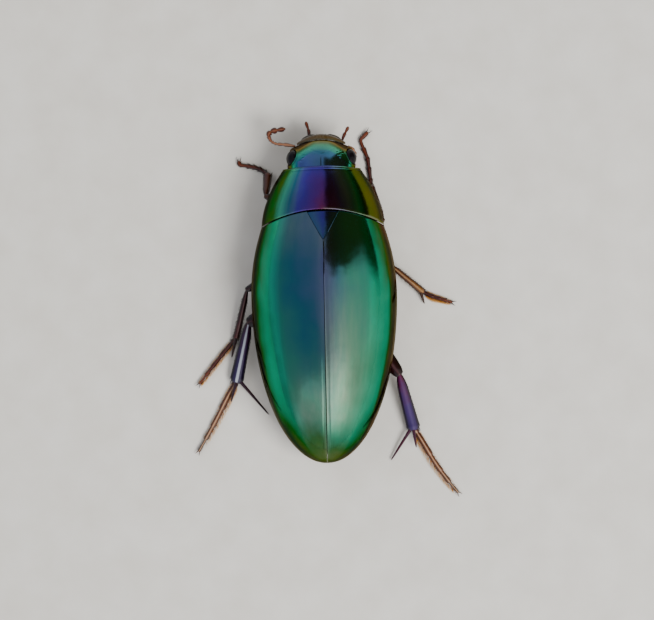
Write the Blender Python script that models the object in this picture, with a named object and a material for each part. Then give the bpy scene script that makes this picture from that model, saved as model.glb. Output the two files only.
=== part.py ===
"""A giant water scavenger beetle, life size, resting on the floor with its legs spread.

The beetle lies along Y with its head at +Y and its right side at +X. The floor is z = 0, and the
origin is on the flat of the breast keel that it rests on. All sizes below are in millimetres, and
new_object turns them into metres.

Cross lines of the body are counted by a station s, the y where the line meets the midline. Towards
the sides a line bends back, by the body's sweep at that station. Along a line, v runs from -1 at the
left edge to +1 at the right edge.
"""

import math

import bmesh
import bpy
import numpy as np

MM = 0.001
WELD = 0.0005  # points closer than this are one point
GAP = 0.12  # clearance between neighbouring pieces

# Body seen from above.
TAIL_Y = -18.0
WIDEST_Y = 0.4
BODY_HALF_WIDTH = 7.94
SHOULDER_TAPER = 0.147  # share of the width lost SHOULDER_RUN ahead of the widest place
SHOULDER_RUN = 7.1
HIND_CORNER = (6.65, 7.95)  # pronotum, at the shoulders
FRONT_CORNER = (4.2, 14.07)  # pronotum, beside the head
PRONOTUM_BULGE = 0.52
PRONOTUM_FRONT_S = 14.4
PRONOTUM_REAR_S = 9.6
STRAIGHT_S = 2.0  # behind this station the cross lines are straight
SCUTELLUM_TIP_S = 6.4
SCUTELLUM_HALF_WIDTH = 1.65

# Body seen from the side.
PEAK_Y = 1.5
PEAK_Z = 10.8
FRONT_DROP = 3.0  # from the peak down to the pronotum's front corners' station
EDGE_Z = 4.2
EDGE_SLOPE = 0.05  # the side edge rises towards the head
BELLY_Z = 2.3
BELLY_REAR_RISE = 0.9
BELLY_FRONT_RISE = 0.8
BELLY_FLAT = (-6.0, 8.0)  # the belly is level between these

# Thickness of the shell plates.
RIM = 0.45
SHELL = 0.6
RIM_INSET = 0.75
PRONOTUM_ARCH = 1.6

# Head.
HEAD_REAR_S = PRONOTUM_FRONT_S + GAP
HEAD_FRONT_S = 17.35
HEAD_TIP_Y = 18.0
HEAD_HALF_WIDTH = 3.68
HEAD_SWEEP = (0.27, 0.9)
EYE_CENTRE = (3.08, 15.3, 5.42)
EYE_RADII = (0.76, 0.95, 0.8)

# Breast keel.
KEEL_FRONT_Y = 7.6
KEEL_FLAT = (-2.6, 5.4)
KEEL_TIP_Y = -6.2
KEEL_HALF_WIDTH = 0.42

# Half widths and half heights of the leg pieces, from the body outwards.
FEMUR = {"fore": (0.5, 0.42), "mid": (0.55, 0.42), "hind": (0.95, 0.45)}
TIBIA_START = {"fore": (0.32, 0.3), "mid": (0.28, 0.28), "hind": (0.5, 0.34)}
TIBIA_END = {"fore": (0.46, 0.32), "mid": (0.36, 0.3), "hind": (0.7, 0.4)}
TARSUS = {"fore": 0.28, "mid": 0.3, "hind": 0.38}
TARSUS_TIP = 0.26
TARSUS_HALF_HEIGHT = 0.28
TARSUS_Z = 0.25  # a little under the half height, so that each foot has a flat sole
SPUR = 0.27

COXA_Y = {"fore": 10.3, "mid": 3.6, "hind": -1.0}
COXA_REACH = (0.75, 2.25)
COXA_HALF = (0.85, 0.42)
COXA_Z = 1.62

# The pose: hip, knee and ankle of each leg, the bends of its foot, and the tips of its spurs.
LEGS = {
    "fore_left": {
        "hip": (-2.75, 10.35, 1.6),
        "knee": (-6.2, 11.35, 2.1),
        "ankle": (-5.95, 13.75, 0.7),
        "foot": [(-6.45, 14.2), (-7.3, 14.6), (-8.37, 14.83), (-9.03, 15.0), (-9.11, 15.83)],
        "spurs": [],
    },
    "fore_right": {
        "hip": (2.75, 10.15, 1.6),
        "knee": (6.62, 8.5, 2.1),
        "ankle": (5.3, 12.2, 0.7),
        "foot": [(5.36, 12.65), (5.18, 14.51), (4.98, 15.61), (4.36, 17.26), (4.69, 17.8), (5.48, 18.6)],
        "spurs": [],
    },
    "mid_left": {
        "hip": (-2.75, 3.45, 1.6),
        "knee": (-8.45, 1.2, 2.2),
        "ankle": (-9.8, -4.2, 0.6),
        "foot": [(-10.2, -4.55), (-11.74, -6.36), (-13.3, -8.29), (-14.2, -9.48)],
        "spurs": [(-10.3, -6.2, 0.75)],
    },
    "mid_right": {
        "hip": (2.75, 3.6, 1.6),
        "knee": (7.3, 3.6, 2.2),
        "ankle": (10.75, 0.65, 0.6),
        "foot": [(11.15, 0.42), (11.9, 0.05), (12.97, -0.29), (14.49, -0.81)],
        "spurs": [(11.0, -0.7, 0.3)],
    },
    "hind_left": {
        "hip": (-2.8, -0.7, 1.6),
        "knee": (-8.35, -2.4, 2.1),
        "ankle": (-9.82, -8.8, 0.75),
        "foot": [(-10.0, -9.15), (-10.85, -10.6), (-12.42, -13.56), (-14.35, -16.91)],
        "spurs": [(-6.4, -12.58, 0.3), (-10.45, -11.1, 0.8)],
    },
    "hind_right": {
        "hip": (2.8, -1.4, 1.6),
        "knee": (8.05, -8.4, 2.1),
        "ankle": (9.55, -14.4, 0.75),
        "foot": [(9.8, -14.75), (10.55, -15.98), (11.96, -18.41), (13.45, -20.51), (14.62, -21.96)],
        "spurs": [(7.05, -17.87, 0.3), (9.8, -16.5, 0.8)],
    },
}

# Feelers and mouthparts: a route, and the radius at each of its points.
FEELER = 0.26
ANTENNA_ROUTES = {
    "left": [(-3.15, 16.95, 4.3), (-4.1, 16.95, 4.0), (-4.9, 17.05, 3.8), (-5.5, 17.4, 3.6), (-5.74, 18.05, 3.5),
             (-5.4, 18.42, 3.4), (-4.8, 18.55, 3.3), (-4.03, 18.68, 3.2)],
    "right": [(3.1, 16.6, 3.95), (3.5, 16.2, 3.55), (3.72, 15.7, 3.35), (3.6, 15.2, 3.25), (3.2, 14.9, 3.2),
              (2.75, 14.8, 3.1), (2.3, 14.8, 3.05), (1.75, 14.85, 3.0)],
}
ANTENNA_RADII = (0.26, 0.25, 0.25, 0.26, 0.33, 0.3, 0.38, 0.28)
PALP_ROUTES = {
    "left": [(-2.0, 15.9, 3.0), (-1.75, 16.9, 3.0), (-1.31, 18.03, 3.0), (-1.61, 19.34, 2.8)],
    "right": [(2.0, 15.9, 3.0), (2.2, 16.7, 3.0), (2.4, 17.6, 3.0), (2.96, 18.71, 2.8)],
}
MANDIBLE_ROUTE = [(2.15, 16.75, 3.72), (1.75, 17.4, 3.72), (1.05, 17.75, 3.72), (0.35, 17.85, 3.72)]
MANDIBLE_RADII = ((0.3, 0.25), (0.32, 0.25), (0.26, 0.25), (0.2, 0.2))
LABIUM_ROUTE = [(0.0, 15.1, 2.85), (0.0, 15.6, 3.0), (0.0, 16.5, 3.1), (0.0, 17.1, 3.15)]
LABIUM_RADII = ((0.7, 0.22), (0.95, 0.25), (0.8, 0.25), (0.45, 0.2))

# Colour, metallic and roughness of each finish.
FINISHES = {
    "green_shell": ((0.02, 0.16, 0.12), 0.6, 0.22),
    "blue_shell": ((0.05, 0.05, 0.25), 0.6, 0.22),
    "dark_plate": ((0.03, 0.02, 0.02), 0.1, 0.35),
    "purple_leg": ((0.06, 0.02, 0.08), 0.3, 0.25),
    "brown_foot": ((0.22, 0.08, 0.03), 0.0, 0.4),
    "brown_lip": ((0.12, 0.05, 0.02), 0.1, 0.35),
    "eye": ((0.01, 0.01, 0.012), 0.0, 0.15),
}


# ---- the body's form, as formulas ----


def half_width(y, inset=0.0):
    """Half width of the body at y: an ellipse behind the widest place, a gentle curve ahead of it."""
    ahead = (y - WIDEST_Y) / SHOULDER_RUN
    shoulder = BODY_HALF_WIDTH * (1.0 - SHOULDER_TAPER * ahead**2) - inset
    behind = (WIDEST_Y - y) / (WIDEST_Y - TAIL_Y - inset)
    rear = (BODY_HALF_WIDTH - inset) * np.sqrt(np.clip(1.0 - behind**2, 0.0, 1.0))
    wings = np.where(y > WIDEST_Y, shoulder, rear)
    t = (y - HIND_CORNER[1]) / (FRONT_CORNER[1] - HIND_CORNER[1])
    straight = HIND_CORNER[0] + (FRONT_CORNER[0] - HIND_CORNER[0]) * t
    pronotum = straight + PRONOTUM_BULGE * 4.0 * t * (1.0 - t) - inset
    return np.where(y > HIND_CORNER[1] - GAP / 2.0, pronotum, wings)


def edge_height(y):
    """Height of the body's side edge at y."""
    return EDGE_Z + EDGE_SLOPE * y


def top_height(y, inset=0.0):
    """Height of the back along the midline: a long fall to the tail, a short one to the head."""
    behind = np.clip((PEAK_Y - y) / (PEAK_Y - TAIL_Y - inset), 0.0, 1.0)
    rear = edge_height(y) + (PEAK_Z - edge_height(y)) * (1.0 - behind**2.4) ** (1.0 / 1.8)
    ahead = (y - PEAK_Y) / (FRONT_CORNER[1] - PEAK_Y)
    front = PEAK_Z - FRONT_DROP * ahead**2
    return np.where(y > PEAK_Y, front, rear)


def belly_height(y):
    """Height of the underside along the midline: level, and rising to both ends."""
    rear = np.clip((BELLY_FLAT[0] - y) / (BELLY_FLAT[0] - TAIL_Y), 0.0, 1.0)
    front = np.clip((y - BELLY_FLAT[1]) / (PRONOTUM_FRONT_S - BELLY_FLAT[1]), 0.0, 1.0)
    return BELLY_Z + BELLY_REAR_RISE * rear**2 + BELLY_FRONT_RISE * front**2


def sweep(s):
    """How far the cross line of station s has bent back at the body's edge."""
    hind = PRONOTUM_REAR_S - HIND_CORNER[1]
    front = PRONOTUM_FRONT_S - FRONT_CORNER[1]
    return np.interp(s, [STRAIGHT_S, PRONOTUM_REAR_S, PRONOTUM_FRONT_S], [0.0, hind, front])


def dome(v):
    """Rise of the back across the body, 1 on the midline and 0 at the edges."""
    return np.clip(1.0 - np.abs(v) ** 2.2, 0.0, 1.0) ** (1.0 / 1.9)


def hollow(v):
    """Fall of the underside across the body, flatter in the middle than the back is."""
    return np.clip(1.0 - np.abs(v) ** 2.6, 0.0, 1.0) ** (1.0 / 1.6)


def back_surface(s, v, inset=0.0, depth=0.0, drop=0.0):
    """Points of the back, moved in by inset at the sides and down by depth on top."""
    edge_y = s - sweep(s)
    base = edge_height(edge_y) - drop
    rise = np.maximum(top_height(s, inset) - depth - base, 0.0)
    return np.stack([v * half_width(edge_y, inset), s - sweep(s) * v**2, base + rise * dome(v)], axis=-1)


def belly_surface(s, v, inset):
    """Points of the underside, starting inside the rim of the wing cases and the pronotum."""
    edge_y = s - sweep(s)
    base = edge_height(edge_y) - RIM - 0.35
    fall = np.maximum(base - belly_height(s), 0.0)
    return np.stack([v * half_width(edge_y, inset), s - sweep(s) * v**2, base - fall * hollow(v)], axis=-1)


def across(count):
    """Values of v from the left edge to the right edge, close together at the edges."""
    return np.sin(np.linspace(-math.pi / 2.0, math.pi / 2.0, count))


def towards_tail(front, tail, count):
    """Stations from front to tail, close together at the tail."""
    turn = np.linspace(0.0, math.pi / 2.0, count)
    return front + (tail - front) * np.sin(turn)


# ---- objects and materials ----


def finish(name):
    """The Principled material of one finish, made once."""
    if name in bpy.data.materials:
        return bpy.data.materials[name]
    colour, metallic, roughness = FINISHES[name]
    material = bpy.data.materials.new(name)
    material.use_nodes = True
    shader = material.node_tree.nodes["Principled BSDF"]
    shader.inputs["Base Color"].default_value = (*colour, 1.0)
    shader.inputs["Metallic"].default_value = metallic
    shader.inputs["Roughness"].default_value = roughness
    return material


def new_object(name, points, faces, finish_name):
    """One closed body from points in millimetres. Its faces are turned to point out."""
    mesh = bpy.data.meshes.new(name)
    mesh.from_pydata((np.asarray(points) * MM).tolist(), [], faces)
    work = bmesh.new()
    work.from_mesh(mesh)
    bmesh.ops.remove_doubles(work, verts=work.verts, dist=WELD * MM)
    bmesh.ops.dissolve_degenerate(work, edges=work.edges, dist=WELD * MM)
    bmesh.ops.recalc_face_normals(work, faces=work.faces)
    work.to_mesh(mesh)
    work.free()
    mesh.shade_smooth()
    mesh.set_sharp_from_angle(angle=math.radians(40.0))
    mesh.materials.append(finish(finish_name))
    item = bpy.data.objects.new(name, mesh)
    bpy.context.scene.collection.objects.link(item)
    return item


def between(name, upper, lower, finish_name):
    """A plate between two grids of points, closed round its four borders."""
    rows, columns = upper.shape[:2]
    index = np.arange(rows * columns).reshape(rows, columns)
    under = index + rows * columns
    faces = []
    for i in range(rows - 1):
        for j in range(columns - 1):
            faces.append((index[i, j], index[i, j + 1], index[i + 1, j + 1], index[i + 1, j]))
            faces.append((under[i, j], under[i + 1, j], under[i + 1, j + 1], under[i, j + 1]))
    for j in range(columns - 1):
        for i in (0, rows - 1):
            faces.append((index[i, j], under[i, j], under[i, j + 1], index[i, j + 1]))
    for i in range(rows - 1):
        for j in (0, columns - 1):
            faces.append((index[i, j], index[i + 1, j], under[i + 1, j], under[i, j]))
    points = np.concatenate([upper.reshape(-1, 3), lower.reshape(-1, 3)])
    return new_object(name, points, [tuple(int(k) for k in face) for face in faces], finish_name)


def loft(name, rings, finish_name):
    """A solid through a row of rings with equal numbers of points, capped at both ends."""
    rows, columns = rings.shape[:2]
    index = np.arange(rows * columns).reshape(rows, columns)
    faces = [tuple(int(k) for k in index[0]), tuple(int(k) for k in index[-1][::-1])]
    for i in range(rows - 1):
        for j in range(columns):
            k = (j + 1) % columns
            faces.append(tuple(int(n) for n in (index[i, j], index[i + 1, j], index[i + 1, k], index[i, k])))
    return new_object(name, rings.reshape(-1, 3), faces, finish_name)


def smooth_route(points, count):
    """A smooth curve through a few points (Catmull-Rom), read at evenly spread places."""
    points = np.asarray(points, dtype=float)
    ends = (2.0 * points[:1] - points[1:2], 2.0 * points[-1:] - points[-2:-1])
    held = np.concatenate([ends[0], points, ends[1]])
    place = np.linspace(0.0, len(points) - 1.0, count)
    first = np.minimum(place.astype(int), len(points) - 2)
    t = (place - first)[:, None]
    a, b, c, d = (held[first + k] for k in range(4))
    return 0.5 * (2 * b + (c - a) * t + (2 * a - 5 * b + 4 * c - d) * t**2 + (3 * b - a - 3 * c + d) * t**3)


def limb_rings(route, half_widths, half_heights, sides):
    """Oval rings square to a route. What would sink into the floor is flattened on it."""
    route = np.asarray(route, dtype=float)
    along = np.gradient(route, axis=0)
    along /= np.linalg.norm(along, axis=1)[:, None]
    aside = np.cross(along, (0.0, 0.0, 1.0))
    aside /= np.linalg.norm(aside, axis=1)[:, None]
    above = np.cross(aside, along)
    turn = np.linspace(0.0, 2.0 * math.pi, sides, endpoint=False) + math.pi / sides
    wide = np.asarray(half_widths)[:, None, None] * np.cos(turn)[None, :, None] * aside[:, None, :]
    high = np.asarray(half_heights)[:, None, None] * np.sin(turn)[None, :, None] * above[:, None, :]
    rings = route[:, None, :] + wide + high
    rings[..., 2] = np.maximum(rings[..., 2], 0.0)
    return rings


def limb(name, route, half_widths, half_heights, finish_name, sides=8):
    """A leg piece or feeler along a route."""
    return loft(name, limb_rings(route, half_widths, half_heights, sides), finish_name)


def helper(item):
    """Keeps an object as a cutter or a filler for another object, not as a piece."""
    item.hide_render = True
    item.display_type = "WIRE"
    return item


def combine(item, other, operation):
    """Joins a helper's shape to an object, or cuts it out."""
    change = item.modifiers.new(other.name, "BOOLEAN")
    change.operation = operation
    change.solver = "EXACT"
    change.object = helper(other)


# ---- the trunk ----


def make_pronotum():
    """The domed shield over the fore body, with its sides bent down to a rim."""
    s = np.linspace(PRONOTUM_FRONT_S, PRONOTUM_REAR_S, 8)[:, None]
    v = across(21)[None, :]
    upper = back_surface(s, v)
    lower = back_surface(s, v, drop=RIM)
    edge = edge_height(s - sweep(s)) - RIM
    lower[..., 2] = edge + PRONOTUM_ARCH * dome(v)
    between("pronotum", upper, lower, "blue_shell")


def make_prosternum():
    """The underside of the fore body, from which the front legs grow."""
    s = np.linspace(PRONOTUM_FRONT_S - 0.1, PRONOTUM_REAR_S + 0.05, 6)[:, None]
    v = across(13)[None, :]
    upper = back_surface(s, v, RIM_INSET)
    edge = edge_height(s - sweep(s)) - RIM - GAP
    upper[..., 2] = edge + PRONOTUM_ARCH * dome(v) - GAP
    between("prosternum", upper, belly_surface(s, v, RIM_INSET), "dark_plate")


def scutellum_half_width(s):
    """Half width of the small triangle between the wing cases, 0 behind its tip."""
    run = PRONOTUM_REAR_S - GAP - SCUTELLUM_TIP_S
    return SCUTELLUM_HALF_WIDTH * np.clip((s - SCUTELLUM_TIP_S) / run, 0.0, 1.0) ** 0.9


def make_scutellum():
    """The triangular plate between the roots of the wing cases."""
    s = np.linspace(PRONOTUM_REAR_S - GAP, SCUTELLUM_TIP_S, 6)[:, None]
    share = np.linspace(-1.0, 1.0, 7)[None, :]
    v = share * scutellum_half_width(s) / half_width(s - sweep(s))
    between("scutellum", back_surface(s, v), back_surface(s, v, depth=SHELL), "blue_shell")


def wing_case_grid(stations, share, side, inset, depth, drop):
    """Points of one face of a wing case: share runs from the seam (0) to the outer edge (1)."""
    s = stations[:, None]
    wide = np.maximum(half_width(s - sweep(s), inset), GAP)
    seam = np.maximum(scutellum_half_width(s) + GAP * (s > SCUTELLUM_TIP_S), GAP / 2.0) / wide
    seam = np.minimum(seam, 1.0)
    v = seam + (1.0 - seam) * share[None, :]
    grid = back_surface(s, v, inset, depth, drop)
    grid[..., 0] = np.maximum(grid[..., 0], GAP / 2.0)
    grid[..., 0] *= side
    return grid


def make_wing_case(name, side):
    """One hard wing case: a thin curved shell from the seam to the body's edge."""
    front = PRONOTUM_REAR_S - GAP
    ahead = np.linspace(front, SCUTELLUM_TIP_S, 5)[:-1]
    outer_s = np.concatenate([ahead, towards_tail(SCUTELLUM_TIP_S, TAIL_Y, 19)])
    inner_s = np.concatenate([ahead, towards_tail(SCUTELLUM_TIP_S, TAIL_Y + RIM_INSET, 19)])
    share = np.sin(np.linspace(0.0, math.pi / 2.0, 10))
    upper = wing_case_grid(outer_s, share, side, 0.0, 0.0, 0.0)
    lower = wing_case_grid(inner_s, share, side, RIM_INSET, SHELL, RIM)
    between(name, upper, lower, "green_shell")


def make_hind_trunk():
    """The breast under the wing cases and, behind it, the abdomen."""
    inset = RIM_INSET + GAP
    depth = SHELL + GAP
    v = across(15)[None, :]
    pieces = {
        "metathorax": np.linspace(PRONOTUM_REAR_S - GAP, -0.9, 8),
        "abdomen": towards_tail(-0.9 - GAP, TAIL_Y + inset, 13),
    }
    for name, stations in pieces.items():
        s = stations[:, None]
        upper = back_surface(s, v, inset, depth, RIM + 0.1)
        between(name, upper, belly_surface(s, v, inset), "dark_plate")


def make_keel():
    """The keel along the breast. The beetle rests on its flat, and its spine runs back."""
    top = BELLY_Z - GAP
    wide = KEEL_HALF_WIDTH
    # y, half width, lower and upper height
    stations = [
        (KEEL_FRONT_Y, wide * 0.5, top - 0.6, top),
        (KEEL_FLAT[1] + 0.9, wide * 0.85, 0.5, top),
        (KEEL_FLAT[1], wide, 0.0, top),
        (KEEL_FLAT[0], wide, 0.0, top),
        (KEEL_FLAT[0] - 1.0, wide * 0.9, 0.3, top - 0.25),
        (KEEL_TIP_Y, wide * 0.55, top - 1.0, top - 0.5),
    ]
    rings = []
    for y, half, low, high in stations:
        middle = low + 0.35 * (high - low)
        rings.append([(-half, y, high), (half, y, high), (half, y, middle), (half * 0.7, y, low),
                      (-half * 0.7, y, low), (-half, y, middle)])
    loft("sternal_keel", np.array(rings), "dark_plate")


# ---- the head ----


def head_half_width(y):
    """Half width of the head: a blunt rounded front."""
    ahead = np.clip((y - HEAD_REAR_S) / (HEAD_TIP_Y - HEAD_REAR_S), 0.0, 1.0)
    return HEAD_HALF_WIDTH * np.sqrt(1.0 - ahead**2.6)


def ellipsoid(name, centre, radii, finish_name, rings=9, sides=14):
    """An egg shape from stacked rings along Y."""
    lift = np.linspace(-math.pi / 2.0, math.pi / 2.0, rings)[:, None]
    turn = np.linspace(0.0, 2.0 * math.pi, sides, endpoint=False)[None, :]
    x = centre[0] + radii[0] * np.cos(lift) * np.cos(turn)
    y = centre[1] + radii[1] * np.sin(lift) + 0.0 * turn
    z = centre[2] + radii[2] * np.cos(lift) * np.sin(turn)
    index = np.arange(rings * sides).reshape(rings, sides)
    faces = []
    for i in range(rings - 1):
        for j in range(sides):
            k = (j + 1) % sides
            faces.append(tuple(int(n) for n in (index[i, j], index[i, k], index[i + 1, k], index[i + 1, j])))
    return new_object(name, np.stack([x, y, z], axis=-1).reshape(-1, 3), faces, finish_name)


def make_head():
    """The head, a low wedge with an eye set into each side."""
    s = np.linspace(HEAD_REAR_S, HEAD_FRONT_S, 7)[:, None]
    v = across(19)[None, :]
    ahead = (s - HEAD_REAR_S) / (HEAD_FRONT_S - HEAD_REAR_S)
    bend = HEAD_SWEEP[0] + (HEAD_SWEEP[1] - HEAD_SWEEP[0]) * ahead
    x = v * head_half_width(s - bend)
    y = s - bend * v**2
    side = 5.05 - 0.2 * ahead
    upper = side + 0.1 + (7.45 - 1.35 * ahead - 0.75 * ahead**3 - side) * dome(v)
    lower = side - 0.1 - (side - 3.25 - 0.75 * ahead) * hollow(v)
    head = between("head", np.stack([x, y, upper], axis=-1), np.stack([x, y, lower], axis=-1), "green_shell")
    for name, side in (("left", -1.0), ("right", 1.0)):
        centre = (side * EYE_CENTRE[0], EYE_CENTRE[1], EYE_CENTRE[2])
        ellipsoid("eye_" + name, centre, EYE_RADII, "eye")
        socket = ellipsoid("socket_" + name, centre, [r + GAP for r in EYE_RADII], "eye")
        combine(head, socket, "DIFFERENCE")


def make_labrum():
    """The narrow brown lip plate along the front of the head."""
    x = np.linspace(-2.6, 2.6, 13)[None, :]
    ahead = np.linspace(0.0, 1.0, 3)[:, None]
    rear = HEAD_FRONT_S + GAP - HEAD_SWEEP[1] * (x / 3.37) ** 2
    front = HEAD_TIP_Y - 1.43 * (x / 3.3) ** 2
    y = rear + (front - rear) * ahead
    x = x + 0.0 * y
    upper = 5.15 - 0.3 * ahead**2 - 0.04 * x**2
    lower = 4.4 - 0.02 * x**2 + 0.15 * ahead
    between("labrum", np.stack([x, y, upper], axis=-1), np.stack([x, y, lower], axis=-1), "brown_lip")


def make_mouthparts():
    """Jaws and feeding feelers (palps) on both sides, and the lower lip between them."""
    for name, side in (("left", -1.0), ("right", 1.0)):
        jaw = smooth_route([(side * x, y, z) for x, y, z in MANDIBLE_ROUTE], len(MANDIBLE_ROUTE))
        limb("mandible_" + name, jaw, *zip(*MANDIBLE_RADII), "brown_lip")
        palp = smooth_route(PALP_ROUTES[name], 10)
        radius = np.full(10, FEELER)
        radius[-1] = 0.15
        limb("maxillary_palp_" + name, palp, radius, radius, "brown_foot", sides=6)
        feeler = smooth_route(ANTENNA_ROUTES[name], 15)
        radius = np.interp(np.linspace(0.0, 1.0, 15), np.linspace(0.0, 1.0, 8), ANTENNA_RADII)
        radius[-1] = 0.15
        limb("antenna_" + name, feeler, radius, radius, "brown_foot", sides=8)
    limb("labium", LABIUM_ROUTE, *zip(*LABIUM_RADII), "dark_plate")


# ---- the legs ----


def beyond(start, end, room):
    """The point that lies room beyond start on the way to end."""
    start = np.asarray(start)
    way = np.asarray(end) - start
    return start + way * (room / np.linalg.norm(way))


def joint_room(before, joint, after, half_width):
    """How far past a joint the next piece starts: more, the more the leg bends there."""
    there = np.subtract(joint, before)
    on = np.subtract(after, joint)
    cosine = np.dot(there, on) / (np.linalg.norm(there) * np.linalg.norm(on))
    return GAP + half_width * (1.0 - cosine)


def straight(start, end, count):
    """Evenly spread points from start to end."""
    share = np.linspace(0.0, 1.0, count)[:, None]
    return np.asarray(start) + (np.asarray(end) - np.asarray(start)) * share


def make_coxa(leg, pair, side):
    """The leg's root, a low oval knob lying across the breast."""
    y = COXA_Y[pair]
    route = straight((side * COXA_REACH[0], y, COXA_Z), (side * COXA_REACH[1], y, COXA_Z), 5)
    swell = np.array([0.55, 0.9, 1.0, 0.9, 0.55])
    limb(leg + "_coxa", route, COXA_HALF[0] * swell, COXA_HALF[1] * swell, "dark_plate")


def make_femur(leg, pair, pose):
    """The thigh, a flattened spindle."""
    swell = np.array([0.5, 0.85, 1.0, 0.95, 0.8, 0.5])
    route = straight(pose["hip"], pose["knee"], len(swell))
    limb(leg + "_femur", route, FEMUR[pair][0] * swell, FEMUR[pair][1] * swell, "purple_leg")


def make_tibia(leg, pair, pose):
    """The shin, widening to its end, with its long spurs joined on."""
    room = joint_room(pose["hip"], pose["knee"], pose["ankle"], 0.5 * FEMUR[pair][0])
    start = beyond(pose["knee"], pose["ankle"], room)
    route = straight(start, pose["ankle"], 5)
    share = np.linspace(0.0, 1.0, 5)
    trim = np.array([0.7, 1.0, 1.0, 1.0, 0.85])
    wide = (TIBIA_START[pair][0] + (TIBIA_END[pair][0] - TIBIA_START[pair][0]) * share) * trim
    high = (TIBIA_START[pair][1] + (TIBIA_END[pair][1] - TIBIA_START[pair][1]) * share) * trim
    tibia = limb(leg + "_tibia", route, wide, high, "purple_leg")
    for number, tip in enumerate(pose["spurs"]):
        root = beyond(pose["ankle"], pose["knee"], 0.35) + (0.0, 0.0, 0.08)
        radii = (SPUR, SPUR, 0.12)
        spur = limb("%s_spur_%d" % (leg, number), straight(root, tip, 3), radii, radii, "purple_leg", sides=6)
        combine(tibia, spur, "UNION")


def make_tarsus(leg, pair, pose):
    """The foot of five joints, lying on the floor and ending at its claws."""
    route = smooth_route([(x, y, TARSUS_Z) for x, y in pose["foot"]], 13)
    share = np.linspace(0.0, 1.0, 13)
    wide = TARSUS[pair] + (TARSUS_TIP - TARSUS[pair]) * share
    high = np.full(13, TARSUS_HALF_HEIGHT)
    wide[-1] = high[-1] = 0.16
    limb(leg + "_tarsus", route, wide, high, "brown_foot")


def make_legs():
    """Six legs, each with its root, thigh, shin and foot."""
    for leg, pose in LEGS.items():
        pair, side_name = leg.split("_")
        side = -1.0 if side_name == "left" else 1.0
        make_coxa(leg, pair, side)
        make_femur(leg, pair, pose)
        make_tibia(leg, pair, pose)
        make_tarsus(leg, pair, pose)


def main():
    for item in list(bpy.data.objects):
        bpy.data.objects.remove(item, do_unlink=True)
    make_pronotum()
    make_prosternum()
    make_scutellum()
    make_wing_case("wing_case_left", -1.0)
    make_wing_case("wing_case_right", 1.0)
    make_hind_trunk()
    make_keel()
    make_head()
    make_labrum()
    make_mouthparts()
    make_legs()


main()
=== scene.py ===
# %% [markdown]
# # A giant water scavenger beetle
#
# This notebook dresses a life-size model of a large oval water beetle. The solid model is loaded as a
# fixed frame. Each cell then makes one finished piece over the solid it stands for. All sizes are in
# millimetres, and only the last step of each piece turns them into Blender's metres.

# %% Load the solid model
import math

import bmesh
import bpy
import numpy as np
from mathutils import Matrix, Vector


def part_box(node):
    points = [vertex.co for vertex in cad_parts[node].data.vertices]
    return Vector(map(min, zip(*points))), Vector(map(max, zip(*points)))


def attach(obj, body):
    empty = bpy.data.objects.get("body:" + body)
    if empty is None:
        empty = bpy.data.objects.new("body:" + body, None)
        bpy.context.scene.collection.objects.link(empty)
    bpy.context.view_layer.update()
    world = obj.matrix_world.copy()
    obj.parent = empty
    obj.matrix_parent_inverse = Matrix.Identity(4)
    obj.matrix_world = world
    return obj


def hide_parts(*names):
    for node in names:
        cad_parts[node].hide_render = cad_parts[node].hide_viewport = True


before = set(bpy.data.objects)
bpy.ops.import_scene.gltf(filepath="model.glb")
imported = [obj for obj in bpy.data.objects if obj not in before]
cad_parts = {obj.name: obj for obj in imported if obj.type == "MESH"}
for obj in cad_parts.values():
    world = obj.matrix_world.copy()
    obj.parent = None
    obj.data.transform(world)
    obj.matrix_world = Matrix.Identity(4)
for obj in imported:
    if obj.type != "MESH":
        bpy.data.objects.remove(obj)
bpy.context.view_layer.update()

MM = 0.001


# %% [markdown]
# ## The body as formulas
#
# A beetle's back is one smooth dome, and every plate on it is a patch of that dome. So the dome is written
# once, as a function of two numbers: the station s, where a cross line meets the midline, and v, which runs
# from -1 at the left edge to +1 at the right edge. The main sizes come from the solids' own boxes, so the
# dressed model can't drift away from them. A sculpted mesh would need the same dome again for each plate.

# %% Sizes read from the solids
def corners(node):
    """Lowest and highest corner of a solid, in millimetres."""
    low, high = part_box(node)
    return np.array(low) / MM, np.array(high) / MM


case_low, case_high = corners("wing_case_right")
shield_low, shield_high = corners("pronotum")
scutellum_low, scutellum_high = corners("scutellum")

TAIL_Y = case_low[1]
HALF_WIDTH = case_high[0]
PEAK_Z = case_high[2]
SHIELD_FRONT = shield_high[1]
HIND_CORNER = (6.65, shield_low[1])  # the shield's hind corner: x and y
FRONT_CORNER = (4.2, 14.07)  # the shield's front corner
SHIELD_REAR = 9.6  # the shield's hind edge on the midline
SCUTELLUM_TIP = scutellum_low[1]
SCUTELLUM_HALF = scutellum_high[0]
HEAD_TIP = corners("labrum")[1][1]
WIDEST_Y = 0.4
PEAK_Y = 1.5
SEAM = 0.035  # half the width of the dark line where two plates meet
print("body length %.1f mm, width %.1f mm, height %.1f mm" % (HEAD_TIP - TAIL_Y, 2 * HALF_WIDTH, PEAK_Z))

# %% The dome of the back and the fall of the belly
SHOULDER_RUN = 7.1  # from the widest place forward to the shoulder
SHOULDER_LOSS = 0.147  # the share of the half width that is lost on that run
SHIELD_BULGE = 0.52  # how far the shield's sides swell past a straight line
EDGE_Z = 4.2  # height of the side edge at y = 0
EDGE_SLOPE = 0.05
NECK_FALL = 3.0  # from the peak down to the top at the shield's front corners
BELLY_Z = 2.3
BELLY_RIM = 0.8  # the belly starts this far below the side edge


def rising(value, start, run):
    """A straight line from 0 at start to 1 at start plus run, level before and after."""
    return np.clip((value - start) / run, 0.0, 1.0)


def falling(value, start, run):
    """A straight line from 1 at start less run to 0 at start, level before and after."""
    return np.clip((start - value) / run, 0.0, 1.0)


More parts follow.
